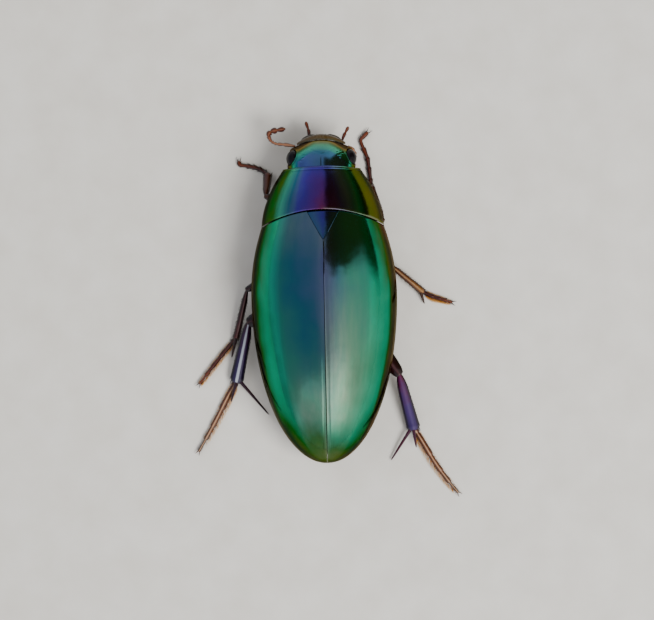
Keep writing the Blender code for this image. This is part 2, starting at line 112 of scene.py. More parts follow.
def half_width(y, inset=0.0):
    """Half width at y: an ellipse behind the widest place, a parabola ahead of it, an arc on the shield."""
    shoulder = HALF_WIDTH * (1.0 - SHOULDER_LOSS * ((y - WIDEST_Y) / SHOULDER_RUN) ** 2) - inset
    behind = (WIDEST_Y - y) / (WIDEST_Y - TAIL_Y - inset)
    rear = (HALF_WIDTH - inset) * np.sqrt(np.clip(1.0 - behind**2, 0.0, 1.0))
    t = (y - HIND_CORNER[1]) / (FRONT_CORNER[1] - HIND_CORNER[1])
    chord = HIND_CORNER[0] + (FRONT_CORNER[0] - HIND_CORNER[0]) * t
    shield = chord + 4.0 * SHIELD_BULGE * t * (1.0 - t) - inset
    return np.where(y > HIND_CORNER[1] - 0.06, shield, np.where(y > WIDEST_Y, shoulder, rear))


def edge_height(y):
    """Height of the side edge at y: a straight line that rises towards the head."""
    return EDGE_Z + EDGE_SLOPE * y


def top_height(y, inset=0.0):
    """Height of the midline: a power curve down to the tail, a parabola down to the head."""
    behind = falling(y, PEAK_Y, PEAK_Y - TAIL_Y - inset)
    rear = edge_height(y) + (PEAK_Z - edge_height(y)) * (1.0 - behind**2.4) ** (1.0 / 1.8)
    front = PEAK_Z - NECK_FALL * ((y - PEAK_Y) / (FRONT_CORNER[1] - PEAK_Y)) ** 2
    return np.where(y > PEAK_Y, front, rear)


def belly_height(y):
    """Height of the underside along the midline: level, with a parabola up to each end."""
    rear = falling(y, -6.0, -6.0 - TAIL_Y)
    front = rising(y, 8.0, 6.4)
    return BELLY_Z + 0.9 * rear**2 + 0.8 * front**2


def sweep(s):
    """How far the cross line of station s has bent back at the body's edge: straight between 3 places."""
    return np.interp(s, [2.0, SHIELD_REAR, SHIELD_FRONT], [0.0, SHIELD_REAR - HIND_CORNER[1], 0.33])


def dome(v):
    """Rise across the back: one minus a power of v, under a root, so it stands steep at the edges."""
    return np.clip(1.0 - np.abs(v) ** 2.2, 0.0, 1.0) ** (1.0 / 1.9)


def hollow(v):
    """Fall across the belly: the same rule with a flatter middle."""
    return np.clip(1.0 - np.abs(v) ** 2.6, 0.0, 1.0) ** (1.0 / 1.6)


def back(s, v, inset=0.0, depth=0.0, drop=0.0):
    """Points of the back for arrays s and v, moved in, down on top, and down at the edge."""
    edge_y = s - sweep(s)
    base = edge_height(edge_y) - drop
    rise = np.maximum(top_height(s, inset) - depth - base, 0.0)
    return np.stack([v * half_width(edge_y, inset), s - sweep(s) * v**2, base + rise * dome(v)], axis=-1)


def belly(s, v, inset):
    """Points of the underside for arrays s and v."""
    edge_y = s - sweep(s)
    base = edge_height(edge_y) - BELLY_RIM
    fall = np.maximum(base - belly_height(s), 0.0)
    return np.stack([v * half_width(edge_y, inset), s - sweep(s) * v**2, base - fall * hollow(v)], axis=-1)


print("top of the back at the neck %.2f mm, at the scutellum %.2f mm" % (top_height(14.4), top_height(8.0)))

# %% [markdown]
# ## Meshes from grids
#
# A surface here is a grid of points, so one rule turns any grid into faces. A plate is two grids, outer and
# inner, closed round their borders. A limb is one grid that closes on itself. Each shape also carries one
# number for each point, its mark, which the materials read as an attribute: on a shell it is the place on
# the colour scale, and on a leg it is how far along the leg the point lies.

# %% Grids, plates and curves
def grid_faces(rows, columns, wrap=False):
    """Four-cornered faces of a grid. With wrap, the last column joins the first."""
    index = np.arange(rows * columns).reshape(rows, columns)
    if wrap:
        index = np.concatenate([index, index[:, :1]], axis=1)
    four = [index[:-1, :-1], index[:-1, 1:], index[1:, 1:], index[1:, :-1]]
    return np.stack(four, axis=-1).reshape(-1, 4)


def border(rows, columns):
    """Indices round the rim of a grid, in order."""
    index = np.arange(rows * columns).reshape(rows, columns)
    return np.concatenate([index[0, :-1], index[:-1, -1], index[-1, :0:-1], index[:0:-1, 0]])


def plate(outer, inner, mark, inner_mark=None):
    """A closed plate: the outer grid, the inner grid turned over, and a wall that joins their rims."""
    rows, columns = outer.shape[:2]
    faces = grid_faces(rows, columns)
    rim = border(rows, columns)
    after = np.roll(rim, -1)
    count = rows * columns
    wall = np.stack([after, rim, rim + count, after + count], axis=-1)
    points = np.concatenate([outer.reshape(-1, 3), inner.reshape(-1, 3)])
    under = mark.ravel() if inner_mark is None else np.full(count, inner_mark)
    marks = np.concatenate([mark.ravel(), under])
    return points, np.concatenate([faces, faces[:, ::-1] + count, wall]), marks


def curve_through(points, count):
    """A smooth curve through a few points (Catmull-Rom: each stretch is a cubic set by four neighbours)."""
    points = np.asarray(points, dtype=float)
    ends_held = np.concatenate([2 * points[:1] - points[1:2], points, 2 * points[-1:] - points[-2:-1]])
    place = np.linspace(0.0, len(points) - 1.0, count)
    first = np.minimum(place.astype(int), len(points) - 2)
    t = (place - first)[:, None]
    a, b, c, d = (ends_held[first + k] for k in range(4))
    return 0.5 * (2 * b + (c - a) * t + (2 * a - 5 * b + 4 * c - d) * t**2 + (3 * b - a - 3 * c + d) * t**3)


print("a 3 by 4 grid has", len(grid_faces(3, 4)), "faces and a rim of", len(border(3, 4)), "points")

# %% Limbs
UP = (0.0, 0.0, 1.0)


def frame_along(route):
    """Unit vectors along, aside and above at each point of a route."""
    along = np.gradient(route, axis=0)
    along /= np.linalg.norm(along, axis=1)[:, None]
    aside = np.cross(along, UP)
    aside /= np.linalg.norm(aside, axis=1)[:, None]
    return along, aside, np.cross(aside, along)


def tube(route, wide, high, sides=20, start=0.0, end=1.0, ridge=0.0, ends=4):
    """A limb: ovals square to a route, with rounded ends. ridge draws the ovals' sides out to an edge.

    Each point gets two marks: its place along the route, and how near it is to the side edge. No point
    lies below the floor."""
    along, aside, above = frame_along(route)
    wide = np.broadcast_to(np.asarray(wide, dtype=float), len(route))
    high = np.broadcast_to(np.asarray(high, dtype=float), len(route))
    lean = np.linspace(0.0, math.pi / 2.0, ends + 1)[1:]
    centres, sizes, picks = [route], [np.ones(len(route))], [np.arange(len(route))]
    for end_index, way in ((0, -1.0), (-1, 1.0)):
        reach = min(wide[end_index], high[end_index])
        cap = route[end_index] + way * along[end_index] * (reach * np.sin(lean))[:, None]
        pick = np.full(ends, np.arange(len(route))[end_index])
        if way < 0:
            centres, sizes, picks = [cap[::-1]] + centres, [np.cos(lean)[::-1]] + sizes, [pick] + picks
        else:
            centres, sizes, picks = centres + [cap], sizes + [np.cos(lean)], picks + [pick]
    centre, size, pick = np.concatenate(centres), np.concatenate(sizes), np.concatenate(picks)
    turn = np.linspace(0.0, 2.0 * math.pi, sides, endpoint=False)
    reach_out = np.cos(turn) * (1.0 + ridge * np.cos(2.0 * turn))
    across = (wide[pick] * size)[:, None, None] * reach_out[None, :, None] * aside[pick][:, None, :]
    upward = (high[pick] * size)[:, None, None] * np.sin(turn)[None, :, None] * above[pick][:, None, :]
    points = centre[:, None, :] + across + upward
    points[..., 2] = np.maximum(points[..., 2], 0.0)
    rows = len(centre)
    mark = start + (end - start) * pick / (len(route) - 1.0)
    marks = np.stack([np.repeat(mark, sides), np.tile(np.abs(np.cos(turn)) ** 3, rows)], axis=1)
    return points.reshape(-1, 3), grid_faces(rows, sides, wrap=True), marks


def together(shapes):
    """Several shapes as one, their points one after another."""
    starts = np.cumsum([0] + [len(points) for points, _, _ in shapes[:-1]])
    faces = np.concatenate([shape[1] + start for shape, start in zip(shapes, starts)])
    return np.concatenate([s[0] for s in shapes]), faces, np.concatenate([s[2] for s in shapes])


short_limb = tube(np.linspace((0.0, 0.0, 1.0), (0.0, 3.0, 1.0), 5), 0.3, 0.3)
print("a short limb of five ovals has", len(short_limb[1]), "faces with its rounded ends")

# %% From a shape to a finished piece
MERGE_MM = 0.0005  # points nearer than this are one point
SHARP_DEGREES = 50.0  # faces that meet at more than this show an edge


def put(name, shape, finish, nodes=(), dust_and_sheen=None, bake_map=None):
    """Makes the mesh in metres, merges points that meet, turns faces out, and lets it ride on the frame."""
    name = name + "_piece" if nodes else name
    points, faces, marks = shape
    mesh = bpy.data.meshes.new(name)
    mesh.from_pydata((points * MM).tolist(), [], faces.tolist())
    labelled = dict(zip(("mark", "rim"), marks.reshape(len(points), -1).T))
    if dust_and_sheen is not None:
        labelled["dust_and_sheen"] = dust_and_sheen
    for label, values in labelled.items():
        store = mesh.attributes.new(label, "FLOAT", "POINT").data
        store.foreach_set("value", np.ascontiguousarray(values, dtype=np.float32))
    if bake_map is not None:
        corner = np.zeros(len(mesh.loops), dtype=np.int32)
        mesh.loops.foreach_get("vertex_index", corner)
        store = mesh.uv_layers.new(name="OFBake").data
        store.foreach_set("uv", bake_map[corner].astype(np.float32).ravel())
    work = bmesh.new()
    work.from_mesh(mesh)
    bmesh.ops.remove_doubles(work, verts=work.verts, dist=MERGE_MM * MM)
    bmesh.ops.dissolve_degenerate(work, edges=work.edges, dist=MERGE_MM * MM)
    bmesh.ops.recalc_face_normals(work, faces=work.faces)
    work.to_mesh(mesh)
    work.free()
    mesh.shade_smooth()
    mesh.set_sharp_from_angle(angle=math.radians(SHARP_DEGREES))
    mesh.materials.append(finish)
    piece = bpy.data.objects.new(name, mesh)
    bpy.context.scene.collection.objects.link(piece)
    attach(piece, "root")
    if nodes:
        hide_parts(*nodes)
    print(name, "-", len(mesh.polygons), "faces")


def lifted(grid, height):
    """A grid moved by height along its own normals, which are the cross product of its two directions."""
    down = np.gradient(grid, axis=0)
    over = np.gradient(grid, axis=1)
    normal = np.cross(over, down)
    length = np.linalg.norm(normal, axis=-1, keepdims=True)
    normal = np.where(length > 1e-9, normal / np.maximum(length, 1e-9), 0.0)
    return grid + normal * height[..., None]


def ditch(distance, width):
    """A smooth dip: 1 at distance 0, falling off as a bell curve of this width."""
    return np.exp(-((distance / width) ** 2))


print("a ditch at its own width from its line has", round(float(ditch(1.0, 1.0)), 2), "of its depth")

# %% [markdown]
# ## Finishes
#
# The shell's colour is no paint. Thin layers in it cancel some colours of the reflected light, and what is
# left changes with the layers' thickness and tilt: violet on the shield, blue and teal along the seam, green
# down the sides, and olive to bronze at the rim. So the shell is a smooth metal whose colour is read from
# one scale, by the mark that each point carries. A noise shifts the place on the scale a little, as real
# layers vary, and a clear coat gives the wet gloss. Where the left and right marks differ, the difference
# is painted reflection. A second number turns the shell pale grey-green where it is high: partly dust, and
# partly a painted sheen that stands in for bright sky reflected in the shell.

# %% Helpers for materials
BLACK = (0.0, 0.0, 0.0, 1.0)
WHITE = (1.0, 1.0, 1.0, 1.0)


def rgb(red, green, blue):
    """A screen colour (0 to 255) as the linear numbers that shaders use."""
    value = np.array([red, green, blue]) / 255.0
    linear = np.where(value <= 0.04045, value / 12.92, ((value + 0.055) / 1.055) ** 2.4)
    return (*[float(c) for c in linear], 1.0)


def add(tree, kind, settings=None, **inputs):
    """Adds a node, sets its settings, and fills its inputs with values or links. i3 means input 3."""
    item = tree.nodes.new(kind)
    for key, value in (settings or {}).items():
        setattr(item, key, value)
    for key, value in inputs.items():
        socket = item.inputs[int(key[1:])] if key[0] == "i" and key[1:].isdigit() else item.inputs[key]
        if isinstance(value, bpy.types.NodeSocket):
            tree.links.new(value, socket)
        else:
            socket.default_value = value
    return item


def new_finish(name, roughness, metallic=0.0, coat=0.0, coat_roughness=0.05, specular=0.5):
    """An empty Principled material and its parts: material, tree, shader."""
    material = bpy.data.materials.new(name)
    material.use_nodes = True
    tree = material.node_tree
    shader = tree.nodes["Principled BSDF"]
    shader.inputs["Roughness"].default_value = roughness
    shader.inputs["Metallic"].default_value = metallic
    shader.inputs["Coat Weight"].default_value = coat
    shader.inputs["Coat Roughness"].default_value = coat_roughness
    shader.inputs["Specular IOR Level"].default_value = specular
    return material, tree, shader


def connect(tree, shader, colour, roughness=None, normal=None):
    """Links what is given to the shader's colour, roughness and normal."""
    for label, value in (("Base Color", colour), ("Roughness", roughness), ("Normal", normal)):
        if value is not None:
            tree.links.new(value, shader.inputs[label])


def carried(tree, name):
    """A number that each point carries: its mark, rim, or dust and painted sheen."""
    return add(tree, "ShaderNodeAttribute", {"attribute_name": name}).outputs["Fac"]


def place_of(tree):
    """The place on the model, by Object coordinates."""
    return add(tree, "ShaderNodeTexCoord").outputs["Object"]


def drawn_out(tree, share):
    """The place, squeezed to this share along the body, so that a pattern runs in streaks."""
    return add(tree, "ShaderNodeMapping", Vector=place_of(tree), Scale=(1.0, share, 1.0)).outputs[0]


def noise(tree, size_mm, detail=3.0, where=None):
    """Noise between 0 and 1 whose blobs are about size_mm wide."""
    if where is None:
        where = place_of(tree)
    item = add(tree, "ShaderNodeTexNoise", Vector=where, Scale=1.0 / (size_mm * MM), Detail=detail)
    return item.outputs[0]


def cells(tree, size_mm):
    """Voronoi cells about size_mm wide: the distance from each cell's middle."""
    item = add(tree, "ShaderNodeTexVoronoi", Vector=place_of(tree), Scale=1.0 / (size_mm * MM))
    return item.outputs["Distance"]


def math_node(tree, operation, first, second=0.0):
    """One sum, product and so on."""
    return add(tree, "ShaderNodeMath", {"operation": operation}, i0=first, i1=second).outputs[0]


def drifting_mark(tree, size_mm, amount, detail=3.0):
    """The mark, plus amount times the noise's distance from its middle value."""
    swing = math_node(tree, "SUBTRACT", noise(tree, size_mm, detail), 0.5)
    return math_node(tree, "ADD", carried(tree, "mark"), math_node(tree, "MULTIPLY", swing, amount))


def remap(tree, value, start, end, low=0.0, high=1.0):
    """A straight change from start to end while the value goes from low to high."""
    return add(tree, "ShaderNodeMapRange", Value=value, i1=low, i2=high, i3=start, i4=end).outputs[0]


def blend(tree, share, first, second):
    """A colour between two: all first at share 0, all second at share 1."""
    return add(tree, "ShaderNodeMix", {"data_type": "RGBA"}, i0=share, i6=first, i7=second).outputs[2]


def ramp(tree, place, stops):
    """A colour scale from (place, colour) pairs."""
    item = add(tree, "ShaderNodeValToRGB", Fac=place)
    scale = item.color_ramp
    scale.elements[0].position, scale.elements[0].color = stops[0]
    scale.elements[1].position, scale.elements[1].color = stops[-1]
    for position, colour in stops[1:-1]:
        scale.elements.new(position).color = colour
    return item.outputs["Color"]


def bump(tree, height, depth_mm, strength=1.0, after=None):
    """Small relief of this depth, from a height between 0 and 1, on top of another bump if one is given."""
    item = add(tree, "ShaderNodeBump", Height=height, Distance=depth_mm * MM, Strength=strength)
    if after is not None:
        tree.links.new(after, item.inputs["Normal"])
    return item.outputs["Normal"]


print("a mid grey of 128 is", round(rgb(128, 128, 128)[0], 3), "to a shader")

# %% The shell finish
SHELL_SCALE = [
    (0.00, rgb(118, 22, 92)),
    (0.07, rgb(90, 24, 136)),
    (0.15, rgb(62, 44, 156)),
    (0.25, rgb(70, 98, 146)),
    (0.36, rgb(36, 102, 128)),
    (0.50, rgb(30, 132, 120)),
    (0.62, rgb(12, 146, 114)),
    (0.72, rgb(6, 116, 84)),
    (0.80, rgb(14, 78, 20)),
    (0.88, rgb(66, 78, 5)),
    (0.93, rgb(84, 84, 4)),
    (0.97, rgb(116, 84, 8)),
    (1.00, rgb(56, 40, 12)),
]
DUST_AND_SHEEN_GREY = rgb(176, 184, 164)


def shell_finish():
    """Smooth coloured metal under a clear coat, turned pale in streaks by dust and painted sheen."""
    material, tree, shader = new_finish("shell", 0.12, metallic=1.0, coat=0.08, coat_roughness=0.04)
    shader.inputs["Specular Tint"].default_value = (0.3, 0.28, 0.18, 1.0)
    film = ramp(tree, drifting_mark(tree, 3.5, 0.16), SHELL_SCALE)
    streaks = remap(tree, noise(tree, 0.5, 4.0, drawn_out(tree, 0.12)), 0.6, 1.4)
    # The pale blend is partly dust and partly painted sheen, standing in for bright sky reflected in the
    # shell.
    dust_and_sheen_share = math_node(tree, "MULTIPLY", carried(tree, "dust_and_sheen"), streaks)
    polish = remap(tree, noise(tree, 1.2, 4.0), 0.08, 0.17)
    ripple = bump(tree, noise(tree, 2.6, 2.0), 0.035)
    grain = bump(tree, noise(tree, 0.05, 2.0), 0.0012, after=ripple)
    connect(tree, shader, blend(tree, dust_and_sheen_share, film, DUST_AND_SHEEN_GREY), polish, grain)
    return material


shell = shell_finish()
print("the shell's colour scale has", len(SHELL_SCALE), "stops")

# %% [markdown]
# ## The wing cases
#
# On the real beetle the two wing cases are hard hollow lids that meet in a straight seam. Each is a grid on
# the dome: rows run back along the body and columns run from the seam to the side. Fine relief is added
# along the grid's own normals: a gutter and a bead along the rim, a groove beside the seam that fades in
# towards the tail, and nine very shallow furrows. Displacement in a material could make the same relief, but
# the solid thickness of the lid is needed anyway, so the relief goes into the points.

# %% Spacing and edges
def fine_at_end(count, start=0.0):
    """Numbers up to 1 that crowd towards 1: the sine of an even turn, from start up to a quarter turn."""
    return np.sin(np.linspace(start, math.pi / 2.0, count))


def fine_at_ends(count, sharp=2.2):
    """Numbers from 0 to 1 that crowd towards both ends: a power curve, mirrored about the middle."""
    t = np.linspace(-1.0, 1.0, count)
    return 0.5 + 0.5 * np.sign(t) * (1.0 - (1.0 - np.abs(t)) ** sharp)


def path_length(grid, axis):
    """Distance walked along a grid's rows or columns, from its first point."""
    steps = np.linalg.norm(np.diff(grid, axis=axis), axis=-1)
    start = np.zeros_like(np.take(steps, [0], axis=axis))
    return np.concatenate([start, np.cumsum(steps, axis=axis)], axis=axis)


def rounded(distance, radius):
    """Drop of an edge rounded like a quarter circle, at this distance from the edge."""
    inside = np.clip(1.0 - distance / radius, 0.0, 1.0)
    return radius * (1.0 - np.sqrt(1.0 - inside**2))


def turned_under(outer, inner, radius=0.14, rows=5):
    """Extra columns that carry a plate's side edge round a bead and in towards the inner grid's edge."""
    edge, target = outer[:, -1], inner[:, -1]
    inward = target - edge
    inward /= np.maximum(np.linalg.norm(inward, axis=-1, keepdims=True), 1e-6)
    turn = np.linspace(0.0, math.pi / 2.0, rows)[1:]
    down = np.array([0.0, 0.0, -1.0])
    room = np.minimum(radius, 0.4 * np.linalg.norm(target - edge, axis=-1))[:, None]
    steps = [edge + room * (math.sin(a) * down + (1.0 - math.cos(a)) * inward) for a in turn]
    return np.concatenate([outer, np.stack(steps, axis=1)], axis=1)


def held(grid, before, after):
    """A grid whose first and last columns are repeated, to match one that has extra columns."""
    first, last = np.repeat(grid[:, :1], before, 1), np.repeat(grid[:, -1:], after, 1)
    return np.concatenate([first, grid, last], axis=1)


def outer_only(values):
    """Values for a plate's outer grid, and 0 for its inner one."""
    return np.concatenate([values.ravel(), 0.0 * values.ravel()])


print("five numbers crowded to both ends:", np.round(fine_at_ends(5), 2))

# %% Colour and haze of a wing case
def case_mark(v, s, side):
    """Place on the colour scale: bluer at the seam, greener outwards and towards the tail, olive rim.

    It is a scale across the case, plus patches that are each a change in v times a change in s. The green
    limit keeps the middle of the case from turning olive before the rim does."""
    # The two cases get different marks (places, band and the terms that depend on right): that left-right
    # difference is painted reflection, for the different sky that each side reflects.
    right = side > 0
    places = [0.82, 0.88, 0.90, 0.925] if right else [0.83, 0.895, 0.925, 0.96]
    band = [0.55, 0.61, 0.67, 0.72, 0.88] if right else [0.58, 0.68, 0.73, 0.78, 0.87]
    wider = right * (0.03 * rising(s, 0.0, 6.0) + 0.02 * falling(s, -5.0, 4.0)) * rising(v, 0.7, 0.2)
    out = np.interp(v + wider, [0.0, 0.3, 0.55, 0.72] + places + [1.0], [0.27, 0.30, 0.40] + band + [0.97])
    behind = np.interp(s, [TAIL_Y, -16.8, -13.0, -5.6, 1.0, 9.6], [0.62, 0.48, 0.30, 0.14, 0.03, 0.0])
    spread = rising(v, 0.1, 0.25) * np.clip(1.0 - v, 0.0, 1.0) ** 0.5
    greener = 0.2 * right * spread * rising(s, -17.5, 5.0)
    violet = 0.08 * ditch(v, 0.10) * falling(s, 8.0, 3.0) * rising(s, -8.0, 5.0)
    mixed = out + (behind + greener) * (1.0 - 0.8 * v**2) - violet
    mixed = mixed + (0.04 if right else 0.02) * rising(s, 0.0, 4.0) * rising(v, 0.6, 0.2)
    mixed = mixed + 0.09 * right * rising(s, 3.5, 3.0) * rising(v, 0.6, 0.15)
    mixed = mixed + (0.032 if right else 0.08) * falling(s, -12.0, 3.0) * rising(s, -19.0, 2.0)
    olive = (0.0 if right else 0.14) * ditch(v - 0.33, 0.25) * ditch(s + 12.0, 2.6)
    limit = np.interp(s, [TAIL_Y, -17.6, -15.5, -12.0, 0.0, 4.0], [0.90, 0.86, 0.77, 0.67, 0.66, 0.8])
    limit = limit + 0.06 * falling(s, -10.0, 3.0) * rising(v, 0.6, 0.2) - 0.06 * right * ditch(s + 14.6, 2.0)
    bronze = 0.97 if right else 0.93
    return np.clip(np.where(mixed > limit, np.maximum(limit, out), mixed) + olive, 0.0, bronze)


def case_dust_and_sheen(v, s, side):
    """How pale the shell is: a long soft patch beside the seam, larger on the right case, of dust and
    painted sheen.
    """
    # The right patch is mostly painted sheen, standing in for bright sky reflected beside the seam.
    right_patch = 0.42 * ditch(v - 0.22, 0.34) * ditch(s + 8.0, 8.0)
    right_patch = right_patch + 0.1 * ditch(v, 0.2) * ditch(s + 12.0, 3.5)
    left_patch = 0.27 * falling(v, 0.64, 0.2) * ditch(s + 11.6, 3.4)
    amount = (right_patch if side > 0 else left_patch) * np.clip((s + 15.5) / 2.5, 0.1, 1.0)
    ahead = (0.03 if side > 0 else 0.14) * rising(s, 4.0, 4.0) * falling(v, 0.8, 0.3)
    edge = 0.05 * ditch(v - 0.86, 0.06) * rising(s, -2.0, 4.0)
    all_over = 0.04 * falling(v, 0.66, 0.1)
    tip = 0.1 * ditch(s - TAIL_Y, 1.0)
    return np.clip(amount + all_over + edge + ahead + tip + 0.12 * ditch(v, 0.08), 0.0, 1.0)


middle_marks = case_mark(np.linspace(0.0, 1.0, 5), -4.0, 1.0)
print("marks across the right case, halfway along:", np.round(middle_marks, 2))

# %% The wing cases
LID_INSET = 0.75  # the inner face's rim lies this far in from the outer face's
LID_DEPTH = 0.6  # the inner face lies this far below the outer one on top
LID_DROP = 0.45  # and this far below it at the rim


def scutellum_half(s):
    """Half width of the small triangle between the wing cases, 0 behind its tip."""
    return SCUTELLUM_HALF * rising(s, SCUTELLUM_TIP, SHIELD_REAR - 0.12 - SCUTELLUM_TIP) ** 0.9


def case_grid(s, share, inset=0.0, depth=0.0, drop=0.0):
    """One face of a right wing case: share runs from the seam (0) to the outer edge (1)."""
    wide = np.maximum(half_width(s - sweep(s), inset), SEAM)
    seam = np.minimum(np.maximum(scutellum_half(s) + 0.03 * (s > SCUTELLUM_TIP), SEAM) / wide, 1.0)
    v = seam + (1.0 - seam) * share
    grid = back(s, v, inset, depth, drop)
    grid[..., 0] = np.maximum(grid[..., 0], SEAM)
    return grid, v


def case_relief(grid, v, s):
    """Height of the outer face: gutter and bead along the rim, groove beside the seam, nine furrows."""
    from_seam = path_length(grid, 1)
    from_edge = from_seam[:, -1:] - from_seam
    behind = falling(s, 4.0, 8.0)
    height = -0.055 * ditch(from_edge - 0.42, 0.12) + 0.02 * ditch(from_edge - 0.18, 0.12)
    height = height - 0.022 * behind * ditch(from_seam - 0.45, 0.07)
    furrow = np.abs(np.sin(v * 9.0 * math.pi / 0.93))
    height = height - 0.007 * (1.0 - furrow) ** 3 * (from_edge > 0.7) * (0.3 + 0.7 * behind)
    tapered = np.minimum(1.0, half_width(s) / 1.5)
    return (height - rounded(from_seam, 0.04)) * tapered - rounded(path_length(grid, 0), 0.05)


def make_wing_case(name, side):
    """Outer and inner faces of one lid. The left lid is the right one turned over."""
    front = SHIELD_REAR - 0.06
    ahead = front + (SCUTELLUM_TIP - front) * fine_at_ends(30, 1.6)[:-1]
    outer_s, inner_s = (
        np.concatenate([ahead, SCUTELLUM_TIP + (tail - SCUTELLUM_TIP) * fine_at_end(130)])[:, None]
        for tail in (TAIL_Y, TAIL_Y + LID_INSET)
    )
    share = np.concatenate([[0.0, 0.003, 0.007, 0.012, 0.02, 0.032], fine_at_end(80, 0.05)])[None, :]
    outer, v = case_grid(outer_s, share)
    inner, _ = case_grid(inner_s, share, LID_INSET, LID_DEPTH, LID_DROP)
    outer = lifted(outer, case_relief(outer, v, outer_s))
    gap = SEAM * np.clip((outer_s - TAIL_Y) / 3.0, 0.12, 1.0)
    outer[..., 0] = np.maximum(outer[..., 0] - (SEAM - gap), gap)
    outer = turned_under(outer, inner)
    extra = outer.shape[1] - inner.shape[1]
    inner, v = held(inner, 0, extra), held(v, 0, extra)
    mark = case_mark(v, outer_s, side)
    mark[:, -extra:] = np.linspace(0.98, 1.0, extra)
    turn_over = np.array([side, 1.0, 1.0])
    shape = plate(outer * turn_over, inner * turn_over, mark, 1.0)
    put(name, shape, shell, (name,), dust_and_sheen=outer_only(case_dust_and_sheen(v, outer_s, side)))


for name, side in (("wing_case_left", -1.0), ("wing_case_right", 1.0)):
    make_wing_case(name, side)

# %% [markdown]
# ## The shield and the small triangle
#
# The shield (pronotum) covers the fore body and is the bluest plate, with violet on its crown. It is the
# same dome with other stations. Its hind edge is rounded, and that narrow curve catches light from behind as
# a thin bright line, which a painted highlight brightens on the right half. The triangle (scutellum) sits
# between the roots of the wing cases.

# %% The shield
SHIELD_WALL = 0.45  # the shield's inner face starts this far below the side edge
SHIELD_CROWN = 1.6  # and rises this much to the middle


def shield_mark(v, s):
    """Violet on the crown, blue round it, sea green down the sides, olive at the rim."""
    wide = np.abs(v)
    places = [0.0, 0.22, 0.42, 0.56, 0.68, 0.8, 0.9, 1.0]
    # The left side is set bluer and the right greener with a wider olive band: that left-right difference is
    # painted reflection, for the bluer sky and the lit ground that the two sides reflect.
    left = np.interp(wide, places, [0.02, 0.07, 0.14, 0.35, 0.56, 0.79, 0.82, 0.92])
    wider = wide + 0.06 * rising(wide, 0.5, 0.1) * (wide < 0.9)
    right = np.interp(wider, places, [0.02, 0.10, 0.24, 0.44, 0.64, 0.87, 0.89, 0.92])
    outwards = np.where(v < 0.0, left, right)
    ahead = rising(s, SHIELD_REAR, SHIELD_FRONT - SHIELD_REAR)
    return np.clip(outwards + 0.12 * ahead**1.5 * (1.0 - wide), 0.0, 1.0)


def mirrored_share(half):
    """Values of v from -1 to 1 made of one half and its mirror image."""
    return np.concatenate([-half[:0:-1], half])


def across_body(count):
    """Values of v over the whole width, crowded towards both edges."""
    return mirrored_share(fine_at_end(count))[None, :]


def make_shield():
    """The shield, with a bead along its sides and rounded front and hind edges."""
    s = (SHIELD_FRONT + (SHIELD_REAR - SHIELD_FRONT) * fine_at_ends(64, 1.8))[:, None]
    v = across_body(60)
    outer = back(s, v)
    inner = outer.copy()
    inner[..., 2] = edge_height(s - sweep(s)) - SHIELD_WALL + SHIELD_CROWN * dome(v)
    from_left = path_length(outer, 1)
    from_side = np.minimum(from_left, from_left[:, -1:] - from_left)
    from_front = path_length(outer, 0)
    from_rear = from_front[-1:] - from_front
    height = -0.05 * ditch(from_side - 0.36, 0.1) + 0.02 * ditch(from_side - 0.15, 0.1)
    height = height - 0.02 * ditch(from_front - 0.35, 0.07) - rounded(from_front, 0.1)
    height = height - rounded(from_rear, 0.26) * (1.0 - 0.8 * v**4)
    outer = lifted(outer, height)
    # Painted highlight: a pale line along the right half of the hind edge and along the front edge, where
    # the rounded edges catch light; the code also pales a band over the crown and two streaks on the sides.
    dust_and_sheen = (0.04 + 0.36 * rising(v, -0.02, 0.08)) * ditch(from_rear - 0.15, 0.15)
    dust_and_sheen = dust_and_sheen + 0.12 * ditch(from_front - 0.06, 0.06) + 0.04 * (np.abs(v) < 0.6)
    dust_and_sheen = dust_and_sheen + 0.06 * ditch(v - 0.45, 0.2) + 0.09 * ditch(v + 0.68, 0.1)
    right = turned_under(outer, inner)
    both = turned_under(right[:, ::-1], inner[:, ::-1])[:, ::-1]
    extra = (both.shape[1] - inner.shape[1]) // 2
    inner, v, dust_and_sheen = (held(grid, extra, extra) for grid in (inner, v, dust_and_sheen))
    put("pronotum", plate(both, inner, shield_mark(v, s), 1.0), shell, ("pronotum",),
        dust_and_sheen=outer_only(dust_and_sheen))


make_shield()

# %% The small triangle
def make_scutellum():
    """A triangle of the dome, its edges rounded down into the gap round it."""
    front = SHIELD_REAR - 0.1
    s = (front + (SCUTELLUM_TIP - front) * fine_at_ends(34, 1.6))[:, None]
    share = mirrored_share(fine_at_ends(31, 1.6)[15:] * 2.0 - 1.0)[None, :]
    v = share * scutellum_half(s) / half_width(s - sweep(s))
    outer = back(s, v)
    to_side = (1.0 - np.abs(share)) * scutellum_half(s)
    outer[..., 2] -= rounded(to_side, 0.03) + rounded(path_length(outer, 0), 0.04)
    mark = 0.20 + 0.10 * np.abs(share) + 0.0 * s
    put("scutellum", plate(outer, back(s, v, depth=0.6), mark), shell, ("scutellum",))


make_scutellum()

# %% [markdown]
# ## The head
#
# The head is a low wedge whose rear is tucked under the shield's front edge. Its front is teal, its rear
# blue, and its rim brown. A fine V-shaped line divides the forehead from the face plate, two patches of pits
# lie inside the eyes, and the skin stands up as a low ring round each eye. All of these are heights on one
# grid, each written as a distance to a line or a point.

# %% The head
HEAD_REAR = SHIELD_FRONT + 0.12
HEAD_FRONT = 17.35
TUCK = 0.17  # how far the head reaches back under the shield
EYE_CENTRE = np.array([3.08, 15.3, 5.42])
EYE_RADII = np.array([0.76, 0.95, 0.8])
FACE_LINE = 15.75  # where the V-shaped line crosses the midline


